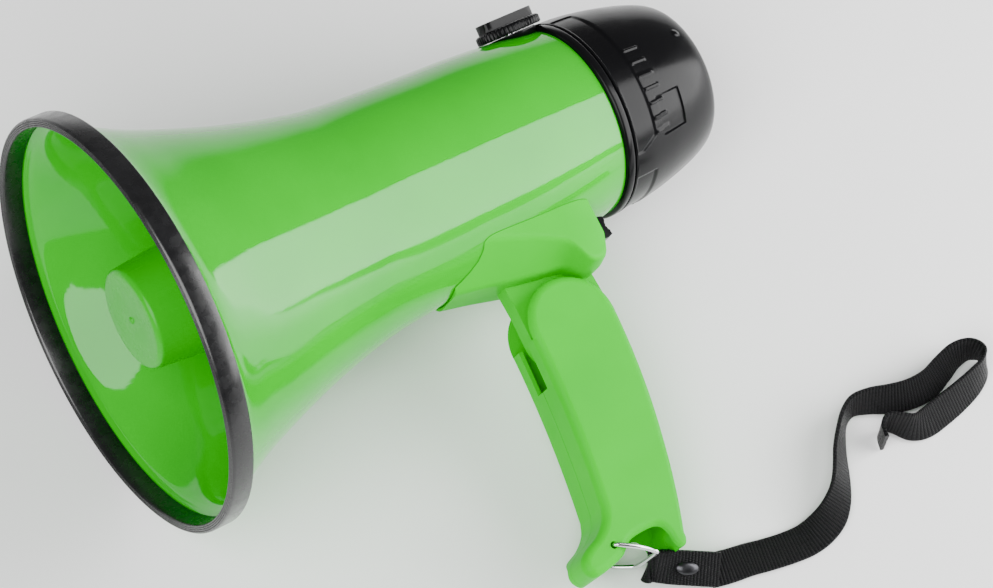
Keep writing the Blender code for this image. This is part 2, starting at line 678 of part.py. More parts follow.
def make_hinge():
    """The hinge pin and the two friction washers beside the tongue."""
    pin = rod("hinge_pin", (*PIVOT, -11.0), (*PIVOT, 11.0), 3.0, sides=20)
    pieces = [finish_piece(pin, STEEL, 0.3, 1.0)]
    thickness = 1.7
    near = TONGUE_HALF_WIDTH + GAP
    for name, low in (("hinge_washer_left", near), ("hinge_washer_right", -near - thickness)):
        washer = rod(name, (*PIVOT, low), (*PIVOT, low + thickness), 8.4, sides=20)
        combine(washer, rod("hole", (*PIVOT, low - 1.0), (*PIVOT, low + 3.0), 3.3), "DIFFERENCE")
        pieces.append(finish_piece(washer, (0.7, 0.68, 0.6), 0.5))
    return pieces


# ---------------------------------------------------------------- ring and strap

def make_strap_ring():
    """A closed wire ring through both halves' toe holes."""
    hx, hy = RING_HOLE
    reach, drop = 15.5, -9.8
    side = GRIP_HALF_WIDTH + GAP + RING_WIRE
    points = [
        (hx, hy, side - 1.6), (hx + 0.4, hy - 0.3, side - 0.4), (hx + 1.6, hy - 1.0, side),
        (hx + 0.5 * reach, hy + 0.5 * drop, side), (hx + 0.92 * reach, hy + 0.92 * drop, 10.4),
        (hx + reach, hy + drop, 8.6),
    ]
    loop = points + [(x, y, -z) for x, y, z in reversed(points)]
    ring = as_mesh(wire("strap_ring", loop, RING_WIRE, closed=True, resolution=2))
    return finish_piece(ring, STEEL, 0.2, 1.0)


def smooth_line(points, parts):
    """A smooth curve through the points, with the given number of parts between each two."""
    line = []
    ends = [points[0], *points, points[-1]]
    for before, here, there, after in zip(ends, ends[1:], ends[2:], ends[3:]):
        p0, p1, p2, p3 = (Vector(point) for point in (before, here, there, after))
        for part in range(parts):
            t = part / parts
            line.append(0.5 * (2.0 * p1 + (p2 - p0) * t
                               + (2.0 * p0 - 5.0 * p1 + 4.0 * p2 - p3) * t * t
                               + (3.0 * p1 - p0 - 3.0 * p2 + p3) * t * t * t))
    line.append(Vector(points[-1]))
    return [tuple(place) for place in line]


def make_strap():
    """The riveted tab on the ring and the plain tube that stands for the webbing."""
    start, end = Vector(TAB_START), Vector(TAB_END)
    along = (end - start).normalized()
    face = along.cross(TAB_WIDE).normalized()
    wide = face.cross(along).normalized()
    turn = Matrix((along, wide, face)).transposed().to_4x4()
    place = Matrix.Translation((start + end) / 2.0) @ turn
    half = Vector(((end - start).length, STRAP_WIDTH, TAB_THICKNESS)) / 2.0
    tab = block("strap_tab", -half, half)
    hole = rod("hole", (0.0, 0.0, -9.0), (0.0, 0.0, 9.0), RIVET_RADIUS + GAP)
    combine(tab, hole, "DIFFERENCE")
    round_edges(tab, 1.6, 2, lambda x, y, z: abs(x) > half.x - 0.01 and abs(y) > half.y - 0.01)
    rivet = rod("strap_rivet", (0.0, 0.0, -half.z - 1.0), (0.0, 0.0, half.z + 1.0), RIVET_RADIUS)
    rim = [(x, y * 0.6) for x, y in arc((0.0, 0.0), RIVET_HEAD, 0.0, 345.0, 23)]
    for low, high in ((-half.z - 1.2, -half.z - GAP), (half.z + GAP, half.z + 1.2)):
        combine(rivet, extruded("head", rim, low, high), "UNION")
    for piece in (tab, rivet):
        piece.location = place.to_translation() * MM
        piece.rotation_euler = place.to_euler()
    finish_piece(tab, BLACK, 0.85)
    finish_piece(rivet, (0.2, 0.2, 0.21), 0.3, 1.0)
    strap = wire("wrist_strap", smooth_line(STRAP_ROUTE, 2), STRAP_TUBE_RADIUS)
    coat(strap, BLACK, 0.85)


# ---------------------------------------------------------------- assembly

def lay_down(resting_pose):
    """Turn the design so that the rim, the cap and the grip's foot touch the table."""
    tilt = math.atan2(RIM_CONTACT[1] - CAP_CONTACT[1], CAP_CONTACT[0] - RIM_CONTACT[0])
    depth = math.sin(tilt) * RIM_CONTACT[0] + math.cos(tilt) * RIM_CONTACT[1]
    x, y, z = GRIP_CORNER
    drop = (depth - math.sin(tilt) * x) / math.cos(tilt)
    roll = math.asin(drop / math.hypot(y, z)) - math.atan2(-z, -y)
    resting_pose.rotation_euler = (roll, tilt, 0.0)
    bpy.context.view_layer.update()
    corners = []
    for piece in resting_pose.children_recursive:
        if piece.type != "EMPTY":
            corners += [piece.matrix_world @ vertex.co for vertex in piece.data.vertices]
    low = [min(corner[axis] for corner in corners) for axis in range(3)]
    high = [max(corner[axis] for corner in corners) for axis in range(3)]
    resting_pose.location = (-(low[0] + high[0]) / 2.0, -(low[1] + high[1]) / 2.0, -low[2])
    bpy.context.view_layer.update()


def main():
    clear_scene()
    resting_pose = new_empty("resting_pose")
    fixed = [make_bell_horn(), make_rim_guard(), make_reflector_cup(), make_throat_tube(),
             make_horn_baffle(), *make_driver(), *make_cells(), make_battery_tray(),
             *make_contacts(), *make_board(), make_knob_seat(), make_seam_ring(),
             make_saddle(), *make_saddle_screws()]
    for piece in fixed:
        piece.parent = resting_pose
    knob = make_volume_knob()
    hang_on(knob, resting_pose, radial(KNOB_X, KNOB_ANGLE, KNOB_SEAT))
    rocker, switch_body = make_talk_switch()
    hang_on(rocker, resting_pose, (*ROCKER_AXIS, 0.0))
    switch_body.parent = resting_pose
    cap_axis = new_empty("cap_axis", (CAP_FRONT_X, 0.0, 0.0), resting_pose)
    for piece in (make_rear_cap(), *make_microphone()):
        hang_on(piece, cap_axis, (CAP_FRONT_X, 0.0, 0.0))
    grip_axis = new_empty("grip_axis", (*PIVOT, 0.0), resting_pose)
    grip = [make_grip_shell("grip_left_shell", 1.0), make_grip_shell("grip_right_shell", -1.0),
            *make_grip_screws(), *make_hinge()]
    for piece in grip:
        hang_on(piece, grip_axis, (*PIVOT, 0.0))
    ring = make_strap_ring()
    hang_on(ring, resting_pose, (*RING_HOLE, 0.0))
    lay_down(resting_pose)
    make_strap()


main()
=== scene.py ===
"""Looks of the battery megaphone with its folding grip and webbing wrist strap.

Pieces are drawn in the horn's own axes, in millimetres, as the CAD draws them: X from
the mouth to the rear cap, Y towards the top of the horn, Z to its left side. The pose
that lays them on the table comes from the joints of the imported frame. The strap is
drawn in world axes, where it lies.
"""
import json
import math

import bmesh
import bpy
from mathutils import Matrix, Vector


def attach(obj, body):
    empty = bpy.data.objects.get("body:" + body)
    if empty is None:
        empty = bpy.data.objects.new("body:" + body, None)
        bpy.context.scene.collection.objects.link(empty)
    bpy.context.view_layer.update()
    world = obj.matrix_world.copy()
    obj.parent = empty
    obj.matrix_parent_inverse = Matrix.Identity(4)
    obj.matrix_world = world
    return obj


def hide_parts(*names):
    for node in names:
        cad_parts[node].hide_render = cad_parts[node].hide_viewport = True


MM = 0.001
GAP = 0.3

# Horn, in millimetres along its axis.
RIM_RADIUS = 80.0
RIM_BORE = 76.4
RIM_DEPTH = 8.5
HORN_WALL = 2.0
SEAM_X = 204.0
CAP_FRONT_X = 208.3
CAP_END_X = 257.5
HORN_OUTLINE = (
    (9.2, 77.4), (10.6, 74.9), (14.0, 72.4), (20.5, 69.0), (32.0, 63.8), (48.0, 58.1),
    (66.0, 52.5), (86.0, 47.6), (106.0, 44.4), (140.0, 42.6), (165.0, 41.8), (186.0, 40.4),
    (SEAM_X, 38.6),
)
REFLECTOR_FRONT_X = 8.4
REFLECTOR_RADIUS = 19.5

KNOB_X = 198.0
KNOB_ANGLE = math.radians(15.0)
KNOB_RADIUS = 13.2
KNOB_SEAT = 40.7

PIVOT = (157.0, -73.0)
PIVOT_RADIUS = 18.5
GRIP_HALF_WIDTH = 13.0
GRIP_WALL = 2.2
TONGUE_HALF_WIDTH = 4.0
GRIP_ROUNDING = 3.8
# The last screw goes into the solid toe, so it has no boss.
GRIP_SCREWS = ((155.0, -103.0), (147.0, -126.0), (118.0, -155.0))
RING_HOLE = (123.4, -153.2)
RING_WIRE = 0.9
ROCKER_AXIS = (185.0, -46.2)

# Strap, in world millimetres.
STRAP_WIDTH = 13.0
WEBBING = 1.5
RIB_PITCH = 1.3
YARN_PITCH = 0.65
TAB_START = Vector((9.6, -119.5, 11.2))
TAB_END = Vector((28.6, -131.1, 6.0))
TAB_WIDE = Vector((0.48, 0.74, 0.47))
STRAP_ROUTE = (
    (27.4, -130.4, 4.5), (35.0, -132.3, 3.1), (43.0, -134.0, 2.0), (50.0, -136.2, 1.8),
    (58.0, -138.4, 1.8), (66.0, -139.9, 2.2), (73.2, -139.7, 3.4), (79.6, -138.0, 5.0),
    (85.2, -134.6, 6.2), (89.6, -130.4, 6.8), (93.6, -125.2, 7.0), (97.6, -119.4, 7.2),
    (102.4, -113.8, 7.4), (107.6, -109.0, 7.4), (113.4, -106.8, 7.4), (120.0, -108.6, 7.4),
    (127.6, -112.4, 7.4), (135.6, -115.2, 7.4), (144.4, -115.8, 7.4), (153.0, -113.6, 7.4),
    (160.6, -111.8, 7.4), (167.2, -112.8, 7.4), (170.4, -117.2, 7.3), (167.4, -121.8, 6.9),
    (160.0, -124.6, 6.2), (151.0, -126.2, 5.7), (142.0, -127.2, 5.6), (133.8, -127.8, 5.8),
    (128.0, -126.4, 6.4), (124.0, -122.4, 7.0), (120.4, -119.4, 7.2), (116.4, -121.2, 7.2),
    (114.2, -126.0, 7.2),
)
# How far the webbing is turned up from lying flat at each route point, in degrees.
STRAP_LEAN = (
    30.0, 12.0, 3.0, 0.0, 0.0, 4.0, 14.0, 26.0, 40.0, 50.0, 56.0, 62.0, 70.0, 76.0, 74.0,
    64.0, 54.0, 48.0, 46.0, 50.0, 60.0, 76.0, 94.0, 110.0, 124.0, 132.0, 136.0, 132.0, 118.0,
    104.0, 96.0, 92.0, 90.0,
)

# Camera, table and lamps, in world metres and watts.
CAMERA_LENS = 94.98
CAMERA_SENSOR = 36.0
CAMERA_NEAR = 0.05
CAMERA_PLACE = Vector((-0.2848, -0.36701, 0.9100))
CAMERA_RIGHT = Vector((0.8217, -0.568, 0.0469))
CAMERA_BACK = Vector((-0.3033, -0.3662, 0.8797))
TABLE_REACH = 3.0
TABLE_DROP = 0.0002
SURROUND = 0.26
# The band lamp reaches across from low to high, and is moved along the horn's axis.
BAND_LOW = Vector((0.03, -0.77, 0.25))
BAND_HIGH = Vector((0.15, -0.13, 0.86))
BAND_SHIFT = 2.1
BAND_LENGTH = 3.6
BAND_POWER = 95.0
FILL_PLACE = Vector((-0.9, -0.5, 1.3))
FILL_SIDE = 1.4
FILL_POWER = 44.0


# ---------------------------------------------------------------- mesh helpers

def design_pose(joints):
    """The pose that carries the horn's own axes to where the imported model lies."""
    named = {joint["name"]: joint for joint in joints}
    along = Vector(named["cap_twist"]["axis"]).normalized()
    left = -Vector(named["grip_fold"]["axis"]).normalized()
    top = left.cross(along).normalized()
    turn = Matrix((along, top, left)).transposed().to_4x4()
    mouth = Vector(named["cap_twist"]["pos_m"]) - along * CAP_FRONT_X * MM
    return Matrix.Translation(mouth) @ turn


def smooth_through(points, parts):
    """A smooth curve through the points, with parts steps between each two."""
    line = []
    ends = [points[0], *points, points[-1]]
    for before, here, there, after in zip(ends, ends[1:], ends[2:], ends[3:]):
        p0, p1, p2, p3 = (Vector(point) for point in (before, here, there, after))
        for part in range(parts):
            t = part / parts
            line.append(0.5 * (2.0 * p1 + (p2 - p0) * t
                               + (2.0 * p0 - 5.0 * p1 + 4.0 * p2 - p3) * t * t
                               + (3.0 * p1 - p0 - 3.0 * p2 + p3) * t * t * t))
    line.append(Vector(points[-1]))
    return line


def smooth_values(values, parts):
    """The same curve through plain numbers."""
    return [point.x for point in smooth_through([(value, 0.0) for value in values], parts)]


def as_piece(name, bm, smooth_below=38.0):
    """Turn a bmesh in millimetres into a smooth-shaded object in metres."""
    bmesh.ops.recalc_face_normals(bm, faces=bm.faces)
    bmesh.ops.scale(bm, vec=(MM, MM, MM), verts=bm.verts)
    mesh = bpy.data.meshes.new(name)
    bm.to_mesh(mesh)
    bm.free()
    mesh.shade_smooth()
    mesh.set_sharp_from_angle(angle=math.radians(smooth_below))
    piece = bpy.data.objects.new(name, mesh)
    bpy.context.scene.collection.objects.link(piece)
    return piece


def with_modifier(piece, kind, **settings):
    """Add a modifier, apply it and keep the mesh that it makes."""
    change = piece.modifiers.new(kind.lower(), kind)
    for key, value in settings.items():
        setattr(change, key, value)
    bpy.context.view_layer.update()
    graph = bpy.context.evaluated_depsgraph_get()
    mesh = bpy.data.meshes.new_from_object(piece.evaluated_get(graph))
    piece.modifiers.remove(change)
    piece.data = mesh


def combine(piece, tool, operation):
    """Add, cut or intersect with the tool, then drop it."""
    with_modifier(piece, "BOOLEAN", operation=operation, solver="EXACT", object=tool)
    bpy.data.objects.remove(tool)


def soften(piece, width, segments=3, angle=32.0):
    """Round the crisp edges and let the flat faces keep their own normals."""
    with_modifier(piece, "BEVEL", width=width * MM, segments=segments, limit_method="ANGLE",
                  angle_limit=math.radians(angle), use_clamp_overlap=True,
                  miter_outer="MITER_ARC", harden_normals=False)
    piece.data.shade_smooth()
    piece.data.set_sharp_from_angle(angle=math.radians(60.0))
    with_modifier(piece, "WEIGHTED_NORMAL", weight=60, keep_sharp=True)


def turned(name, outline, sides=144, wobble=None):
    """Turn (x, radius) points about X. wobble(x, angle, radius) may change a radius."""
    bm = bmesh.new()
    rings = []
    for x, radius in outline:
        if radius == 0.0:
            rings.append([bm.verts.new((x, 0.0, 0.0))])
            continue
        ring = []
        for step in range(sides):
            angle = 2.0 * math.pi * step / sides
            r = wobble(x, angle, radius) if wobble else radius
            ring.append(bm.verts.new((x, r * math.cos(angle), r * math.sin(angle))))
        rings.append(ring)
    pairs = list(zip(rings, rings[1:]))
    if len(rings[0]) > 1:
        pairs.append((rings[-1], rings[0]))
    for near, far in pairs:
        if len(near) == len(far) == 1:
            continue
        for step in range(sides):
            after = (step + 1) % sides
            if len(near) == 1:
                bm.faces.new((near[0], far[step], far[after]))
            elif len(far) == 1:
                bm.faces.new((near[after], near[step], far[0]))
            else:
                bm.faces.new((near[step], far[step], far[after], near[after]))
    return as_piece(name, bm)


def extruded(name, outline, low, high):
    """Extrude an (x, y) outline along Z."""
    bm = bmesh.new()
    base = bm.faces.new([bm.verts.new((x, y, low)) for x, y in outline])
    grown = bmesh.ops.extrude_face_region(bm, geom=[base])
    lifted = [item for item in grown["geom"] if isinstance(item, bmesh.types.BMVert)]
    bmesh.ops.translate(bm, vec=(0.0, 0.0, high - low), verts=lifted)
    return as_piece(name, bm)


def block(name, low, high):
    bm = bmesh.new()
    bmesh.ops.create_cube(bm, size=1.0)
    bmesh.ops.scale(bm, vec=Vector(high) - Vector(low), verts=bm.verts)
    bmesh.ops.translate(bm, vec=(Vector(high) + Vector(low)) / 2.0, verts=bm.verts)
    return as_piece(name, bm)


def rod(name, start, end, radius, sides=48):
    bm = bmesh.new()
    along = Vector(end) - Vector(start)
    turn = along.to_track_quat("Z", "Y").to_matrix().to_4x4()
    place = Matrix.Translation((Vector(start) + Vector(end)) / 2.0) @ turn
    bmesh.ops.create_cone(bm, cap_ends=True, segments=sides, radius1=radius,
                          radius2=radius, depth=along.length, matrix=place)
    return as_piece(name, bm)


def arc(centre, radius, first, last, steps):
    """Points on a circle arc, angles in degrees."""
    points = []
    for step in range(steps + 1):
        angle = math.radians(first + (last - first) * step / steps)
        points.append((centre[0] + radius * math.cos(angle),
                       centre[1] + radius * math.sin(angle)))
    return points


def bow(start, end, bulge, steps):
    """Points on an arc from start to end that stands out by bulge to its right."""
    a, b = Vector(start), Vector(end)
    side = Vector((b.y - a.y, a.x - b.x)).normalized()
    points = []
    for step in range(steps + 1):
        t = step / steps
        points.append(tuple(a.lerp(b, t) + side * bulge * 4.0 * t * (1.0 - t)))
    return points


def radial(x, angle, height, across=0.0):
    """A point on the horn's side: angle from the top towards +Z, height from the axis."""
    return (x, height * math.cos(angle) - across * math.sin(angle),
            height * math.sin(angle) + across * math.cos(angle))


def ease(value):
    """0 below 0, 1 above 1 and smooth between."""
    t = min(max(value, 0.0), 1.0)
    return t * t * (3.0 - 2.0 * t)


def swept(name, path, wides, section):
    """Sweep a closed (across, up) section along the path, with its width along wides.

    The UV map runs in metres: along the path, and round the section.
    """
    bm = bmesh.new()
    uv = bm.loops.layers.uv.new("webbing")
    round_the = [0.0]
    closed = [*section, section[0]]
    for here, there in zip(closed, closed[1:]):
        round_the.append(round_the[-1] + math.dist(here, there))
    rings, distances = [], [0.0]
    for step, place in enumerate(path):
        if step:
            distances.append(distances[-1] + (place - path[step - 1]).length)
        before, after = path[max(step - 1, 0)], path[min(step + 1, len(path) - 1)]
        along = (after - before).normalized()
        wide = (wides[step] - along * wides[step].dot(along)).normalized()
        up = along.cross(wide)
        rings.append([bm.verts.new(place + wide * a + up * b) for a, b in section])
    count = len(section)
    for step, (near, far) in enumerate(zip(rings, rings[1:])):
        for side in range(count):
            after = (side + 1) % count
            face = bm.faces.new((near[side], far[side], far[after], near[after]))
            along = (distances[step], distances[step + 1], distances[step + 1], distances[step])
            across = (round_the[side], round_the[side], round_the[side + 1], round_the[side + 1])
            for loop, u, v in zip(face.loops, along, across):
                loop[uv].uv = (u * MM, v * MM)
    bm.faces.new(rings[0])
    bm.faces.new(reversed(rings[-1]))
    return as_piece(name, bm, smooth_below=60.0)


def webbing_section(width, thickness):
    """Cross-section of webbing: flat faces and round selvedges, a little thicker."""
    half, reach = thickness / 2.0, width / 2.0 - thickness / 2.0
    flat = [-reach + 2.0 * reach * step / 10 for step in range(11)]
    section = [(a, half * (1.0 + 0.12 * ease(abs(a) / reach * 4.0 - 3.0))) for a in flat]
    swell = half * 1.12
    selvedge = [(reach + swell * math.cos(t), swell * math.sin(t))
                for t in (math.radians(angle) for angle in (60, 30, 0, -30, -60))]
    under = [(a, -b) for a, b in reversed(section)]
    return section + selvedge + under + [(-a, -b) for a, b in selvedge]


def put(piece, body, material, slot, *nodes):
    """Lay a piece in design axes down with the frame, and hand it to its body."""
    piece.data.transform(POSE)
    belong(piece, body, material, slot, *nodes)


def belong(piece, body, material, slot, *nodes):
    """Give a piece its look and body, and hide the CAD nodes that it stands for; slot is not used."""
    piece.data.materials.clear()
    piece.data.materials.append(material)
    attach(piece, body)
    if nodes:
        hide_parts(*nodes)
    return piece


# ---------------------------------------------------------------- materials

class Paint:
    """One material and the few node patterns that it is built from."""

    def __init__(self, name, colour, roughness, metallic=0.0, **sockets):
        self.material = bpy.data.materials.new(name)
        self.material.use_nodes = True
        self.nodes = self.material.node_tree.nodes
        self.links = self.material.node_tree.links
        self.shader = self.nodes["Principled BSDF"]
        self.shader.inputs["Base Color"].default_value = (*colour, 1.0)
        self.shader.inputs["Roughness"].default_value = roughness
        self.shader.inputs["Metallic"].default_value = metallic
        for name, value in sockets.items():
            socket = name.replace("_", " ").title().replace("Ior", "IOR")
            self.shader.inputs[socket].default_value = value

    def feed(self, target, source):
        """Link a source, or set a plain value, on a socket."""
        if isinstance(source, bpy.types.NodeSocket):
            self.links.new(source, target)
        else:
            target.default_value = source

    def math(self, operation, first, second=0.0):
        node = self.nodes.new("ShaderNodeMath")
        node.operation = operation
        self.feed(node.inputs[0], first)
        self.feed(node.inputs[1], second)
        return node.outputs[0]

    def along_horn(self):
        """Distance from the mouth along the horn's axis, in metres."""
        axis = POSE.to_3x3() @ Vector((1.0, 0.0, 0.0))
        place = self.nodes.new("ShaderNodeTexCoord")
        project = self.nodes.new("ShaderNodeVectorMath")
        project.operation = "DOT_PRODUCT"
        project.inputs[1].default_value = axis
        self.links.new(place.outputs["Object"], project.inputs[0])
        return self.math("SUBTRACT", project.outputs["Value"], POSE.to_translation().dot(axis))

    def noise(self, scale, detail=2.0, stretch=(1.0, 1.0, 1.0)):
        """Noise in the piece's own axes, scale counted in features per metre."""
        place = self.nodes.new("ShaderNodeTexCoord")
        mapping = self.nodes.new("ShaderNodeMapping")
        mapping.inputs["Scale"].default_value = stretch
        self.links.new(place.outputs["Object"], mapping.inputs["Vector"])
        cloud = self.nodes.new("ShaderNodeTexNoise")
        cloud.inputs["Scale"].default_value = scale
        cloud.inputs["Detail"].default_value = detail
        self.links.new(mapping.outputs["Vector"], cloud.inputs["Vector"])
        return cloud.outputs[0]

    def span(self, source, low, high, start=0.3, end=0.7):
        """Stretch start..end of the source over low..high."""
        node = self.nodes.new("ShaderNodeMapRange")
        self.links.new(source, node.inputs["Value"])
        node.inputs["From Min"].default_value = start
        node.inputs["From Max"].default_value = end
        node.inputs["To Min"].default_value = low
        node.inputs["To Max"].default_value = high
        return node.outputs["Result"]

    def colour(self, factor, first, second):
        """Base colour that goes from first to second with the factor."""
        node = self.nodes.new("ShaderNodeMix")
        node.data_type = "RGBA"
        self.links.new(factor, node.inputs["Factor"])
        node.inputs[6].default_value = (*first, 1.0)
        node.inputs[7].default_value = (*second, 1.0)
        self.links.new(node.outputs[2], self.shader.inputs["Base Color"])

    def rough(self, source):
        self.links.new(source, self.shader.inputs["Roughness"])

    def bump(self, height, depth, strength=1.0, under=None):
        """Bump of the given depth in metres; under is a bump that it lies on."""
        node = self.nodes.new("ShaderNodeBump")
        node.inputs["Strength"].default_value = strength
        node.inputs["Distance"].default_value = depth
        self.links.new(height, node.inputs["Height"])
        if under is not None:
            self.links.new(under, node.inputs["Normal"])
        self.links.new(node.outputs["Normal"], self.shader.inputs["Normal"])
        return node.outputs["Normal"]


def moulded_plastic(name, light, dark, low, high, **sockets):
    """Moulded plastic: faint clouding in the colour, flow streaks and fine handling wear."""
    paint = Paint(name, light, low, **sockets)
    paint.colour(paint.span(paint.noise(22.0, 3.0), 0.0, 1.0), light, dark)
    streaks = paint.noise(130.0, 4.0, (0.15, 1.0, 1.0))
    paint.rough(paint.span(streaks, low, high))
    peel = paint.bump(paint.noise(420.0, 1.0), 0.00004, 0.35)
    paint.bump(paint.noise(2600.0, 3.0, (0.3, 1.0, 1.0)), 0.00001, 0.4, under=peel)
    return paint.material


def rim_rubber():
    """Matt black rubber with dusty bloom and scuffs."""
    paint = Paint("rim_rubber_look", (0.004, 0.004, 0.005), 0.3, specular_ior_level=0.6)
    paint.colour(paint.span(paint.noise(60.0, 6.0), 0.0, 1.0, 0.45, 0.75),
                 (0.003, 0.003, 0.0035), (0.008, 0.008, 0.009))
    paint.rough(paint.span(paint.noise(240.0, 4.0), 0.2, 0.34))
    paint.bump(paint.noise(1800.0, 3.0), 0.00003, 0.6)
    return paint.material


def nylon_webbing():
    """Crosswise-ribbed nylon: yarn bumps in staggered rows, with painted shade between the ribs and
    painted glints on the yarn tops.
    """
    paint = Paint("nylon_webbing_look", (0.01, 0.01, 0.012), 0.5, sheen_weight=0.01,
                  sheen_roughness=0.4, specular_ior_level=0.12)
    place = paint.nodes.new("ShaderNodeUVMap")
    place.uv_map = "webbing"
    split = paint.nodes.new("ShaderNodeSeparateXYZ")
    paint.links.new(place.outputs["UV"], split.inputs["Vector"])
    along, across = split.outputs["X"], split.outputs["Y"]
    row = paint.math("MULTIPLY", along, 1.0 / (RIB_PITCH * MM))
    shift = paint.math("MULTIPLY", paint.math("FLOOR", row), 0.5)
    column = paint.math("ADD", paint.math("MULTIPLY", across, 1.0 / (YARN_PITCH * MM)), shift)
    rib = paint.math("ABSOLUTE", paint.math("SINE", paint.math("MULTIPLY", row, math.pi)))
    yarn = paint.math("ABSOLUTE", paint.math("SINE", paint.math("MULTIPLY", column, math.pi)))
    rise = paint.math("MULTIPLY", paint.math("POWER", yarn, 0.7), 0.6)
    height = paint.math("MULTIPLY", paint.math("POWER", rib, 0.6), paint.math("ADD", rise, 0.4))
    fuzz = paint.noise(2400.0, 3.0)
    # The base colour follows the yarn height: painted shade in the gaps between ribs and yarns,
    # painted glints on the yarn tops; the fuzz adds random tone.
    paint.colour(paint.math("MULTIPLY", height, paint.span(fuzz, 0.55, 1.25)),
                 (0.0002, 0.0002, 0.0003), (0.006, 0.006, 0.007))
    paint.rough(paint.span(fuzz, 0.24, 0.5))
    ribs = paint.bump(height, 0.0005, 1.0)
    paint.bump(fuzz, 0.00008, 0.5, under=ribs)
    return paint.material


def plated_steel(name, colour, low, high):
    """Bright plating with hairline scratches and a little clouding."""
    paint = Paint(name, colour, low, metallic=1.0)
    paint.rough(paint.span(paint.noise(500.0, 4.0), low, high))
    paint.colour(paint.span(paint.noise(180.0, 3.0), 0.0, 1.0), colour,
                 tuple(value * 0.72 for value in colour))
    paint.bump(paint.noise(1500.0, 2.0, (1.0, 0.1, 1.0)), 0.00001, 0.5)
    return paint.material


def cell_jacket():
    """Foil jacket of a C cell: a copper-coloured end band over black."""
    paint = Paint("cell_jacket_look", (0.02, 0.02, 0.02), 0.25, metallic=0.4)
    paint.colour(paint.span(paint.along_horn(), 0.0, 1.0, 0.178, 0.179),
                 (0.02, 0.02, 0.022), (0.55, 0.26, 0.06))
    paint.rough(paint.span(paint.noise(300.0), 0.2, 0.35))
    return paint.material


def plain_look(name, colour, low, high, metallic=0.0, grain=1200.0):
    """A workshop finish for inner parts: clouded colour, uneven roughness and fine grain."""
    paint = Paint(name, colour, low, metallic)
    paint.colour(paint.span(paint.noise(150.0, 4.0), 0.0, 1.0), colour,
                 tuple(value * 0.7 for value in colour))
    paint.rough(paint.span(paint.noise(400.0, 3.0), low, high))
    paint.bump(paint.noise(grain, 2.0), 0.00003, 0.5)
    return paint.material


def voice_coil_look():
    """Enamelled wire wound round the coil former."""
    paint = Paint("copper_coil_look", (0.55, 0.22, 0.08), 0.3, metallic=0.8)
    wound = paint.math("MULTIPLY", paint.along_horn(), 9000.0)
    turns = paint.math("ABSOLUTE", paint.math("SINE", wound))
    paint.colour(turns, (0.25, 0.08, 0.02), (0.62, 0.26, 0.09))
    paint.bump(turns, 0.0001, 0.8)
    return paint.material


def make_looks():
    """One look for each material slot of the record."""
    return {
        "shell_green": moulded_plastic("shell_green_look", (0.006, 0.44, 0.0), (0.004, 0.38, 0.0),
                                       0.04, 0.08, specular_ior_level=0.4),
        "satin_green": moulded_plastic("satin_green_look", (0.01, 0.5, 0.0), (0.007, 0.44, 0.0),
                                       0.4, 0.5, specular_ior_level=0.1),
        "inner_green": moulded_plastic("inner_green_look", (0.008, 0.42, 0.0), (0.005, 0.36, 0.0),
                                       0.22, 0.32, specular_ior_level=0.2),
        "satin_black": moulded_plastic("satin_black_look", (0.0025, 0.0025, 0.003),
                                       (0.004, 0.004, 0.0045), 0.16, 0.26,
                                       specular_ior_level=0.14),
        "rim_rubber": rim_rubber(),
        "nylon_webbing": nylon_webbing(),
        "bright_steel": plated_steel("bright_steel_look", (0.72, 0.72, 0.74), 0.1, 0.24),
        "dark_steel": plated_steel("dark_steel_look", (0.06, 0.06, 0.065), 0.28, 0.42),
        "washer_nylon": plain_look("washer_nylon_look", (0.7, 0.68, 0.6), 0.4, 0.55),
        "cell_jacket": cell_jacket(),
        "ferrite": plain_look("ferrite_look", (0.05, 0.05, 0.055), 0.5, 0.75, grain=2500.0),
        "copper_coil": voice_coil_look(),
        "dome_film": plain_look("dome_film_look", (0.45, 0.27, 0.1), 0.15, 0.3),
        "board_green": plain_look("board_green_look", (0.02, 0.14, 0.045), 0.25, 0.4, grain=900.0),
    }


# ---------------------------------------------------------------- camera, light and table

def make_camera():
    """A long lens high over the table, with the mouth to its left."""
    lens = bpy.data.cameras.new("camera")
    lens.lens = CAMERA_LENS
    lens.sensor_width = CAMERA_SENSOR
    lens.sensor_fit = "HORIZONTAL"
    lens.clip_start = CAMERA_NEAR
    camera = bpy.data.objects.new("camera", lens)
    bpy.context.scene.collection.objects.link(camera)
    back = CAMERA_BACK.normalized()
    up = back.cross(CAMERA_RIGHT.normalized()).normalized()
    turn = Matrix((up.cross(back), up, back)).transposed().to_quaternion()
    camera.matrix_world = Matrix.LocRotScale(CAMERA_PLACE, turn, None)
    bpy.context.scene.camera = camera


def make_table():
    """A wide white table under everything, lit by a pale surround."""
    bm = bmesh.new()
    bmesh.ops.create_grid(bm, x_segments=2, y_segments=2, size=TABLE_REACH / MM)
    table = as_piece("table", bm)
    table.location.z = -TABLE_DROP
    paint = Paint("table_look", (0.93, 0.93, 0.93), 0.55)
    paint.rough(paint.span(paint.noise(40.0, 3.0), 0.5, 0.62))
    table.data.materials.append(paint.material)
    world = bpy.data.worlds.new("surround")
    bpy.context.scene.world = world
    world.use_nodes = True
    world.node_tree.nodes["Background"].inputs["Color"].default_value = (1.0, 1.0, 1.0, 1.0)
    world.node_tree.nodes["Background"].inputs["Strength"].default_value = SURROUND


def make_lights():
    """A long soft box beside the horn, whose edges draw the crisp band, and a high fill."""
    along = POSE.to_3x3() @ Vector((1.0, 0.0, 0.0))
    rise = BAND_HIGH - BAND_LOW
    centre = (BAND_LOW + BAND_HIGH) / 2.0 + along * BAND_SHIFT
    facing = along.cross(rise.normalized()).normalized()
    if facing.dot(-centre) < 0.0:
        facing = -facing
    turn = Matrix((along, -facing.cross(along), -facing)).transposed()
    lamp("band_box", turn, centre, (BAND_LENGTH, rise.length), BAND_POWER)
    turn = FILL_PLACE.to_track_quat("Z", "Y").to_matrix()
    lamp("fill_box", turn, FILL_PLACE, (FILL_SIDE, FILL_SIDE), FILL_POWER)


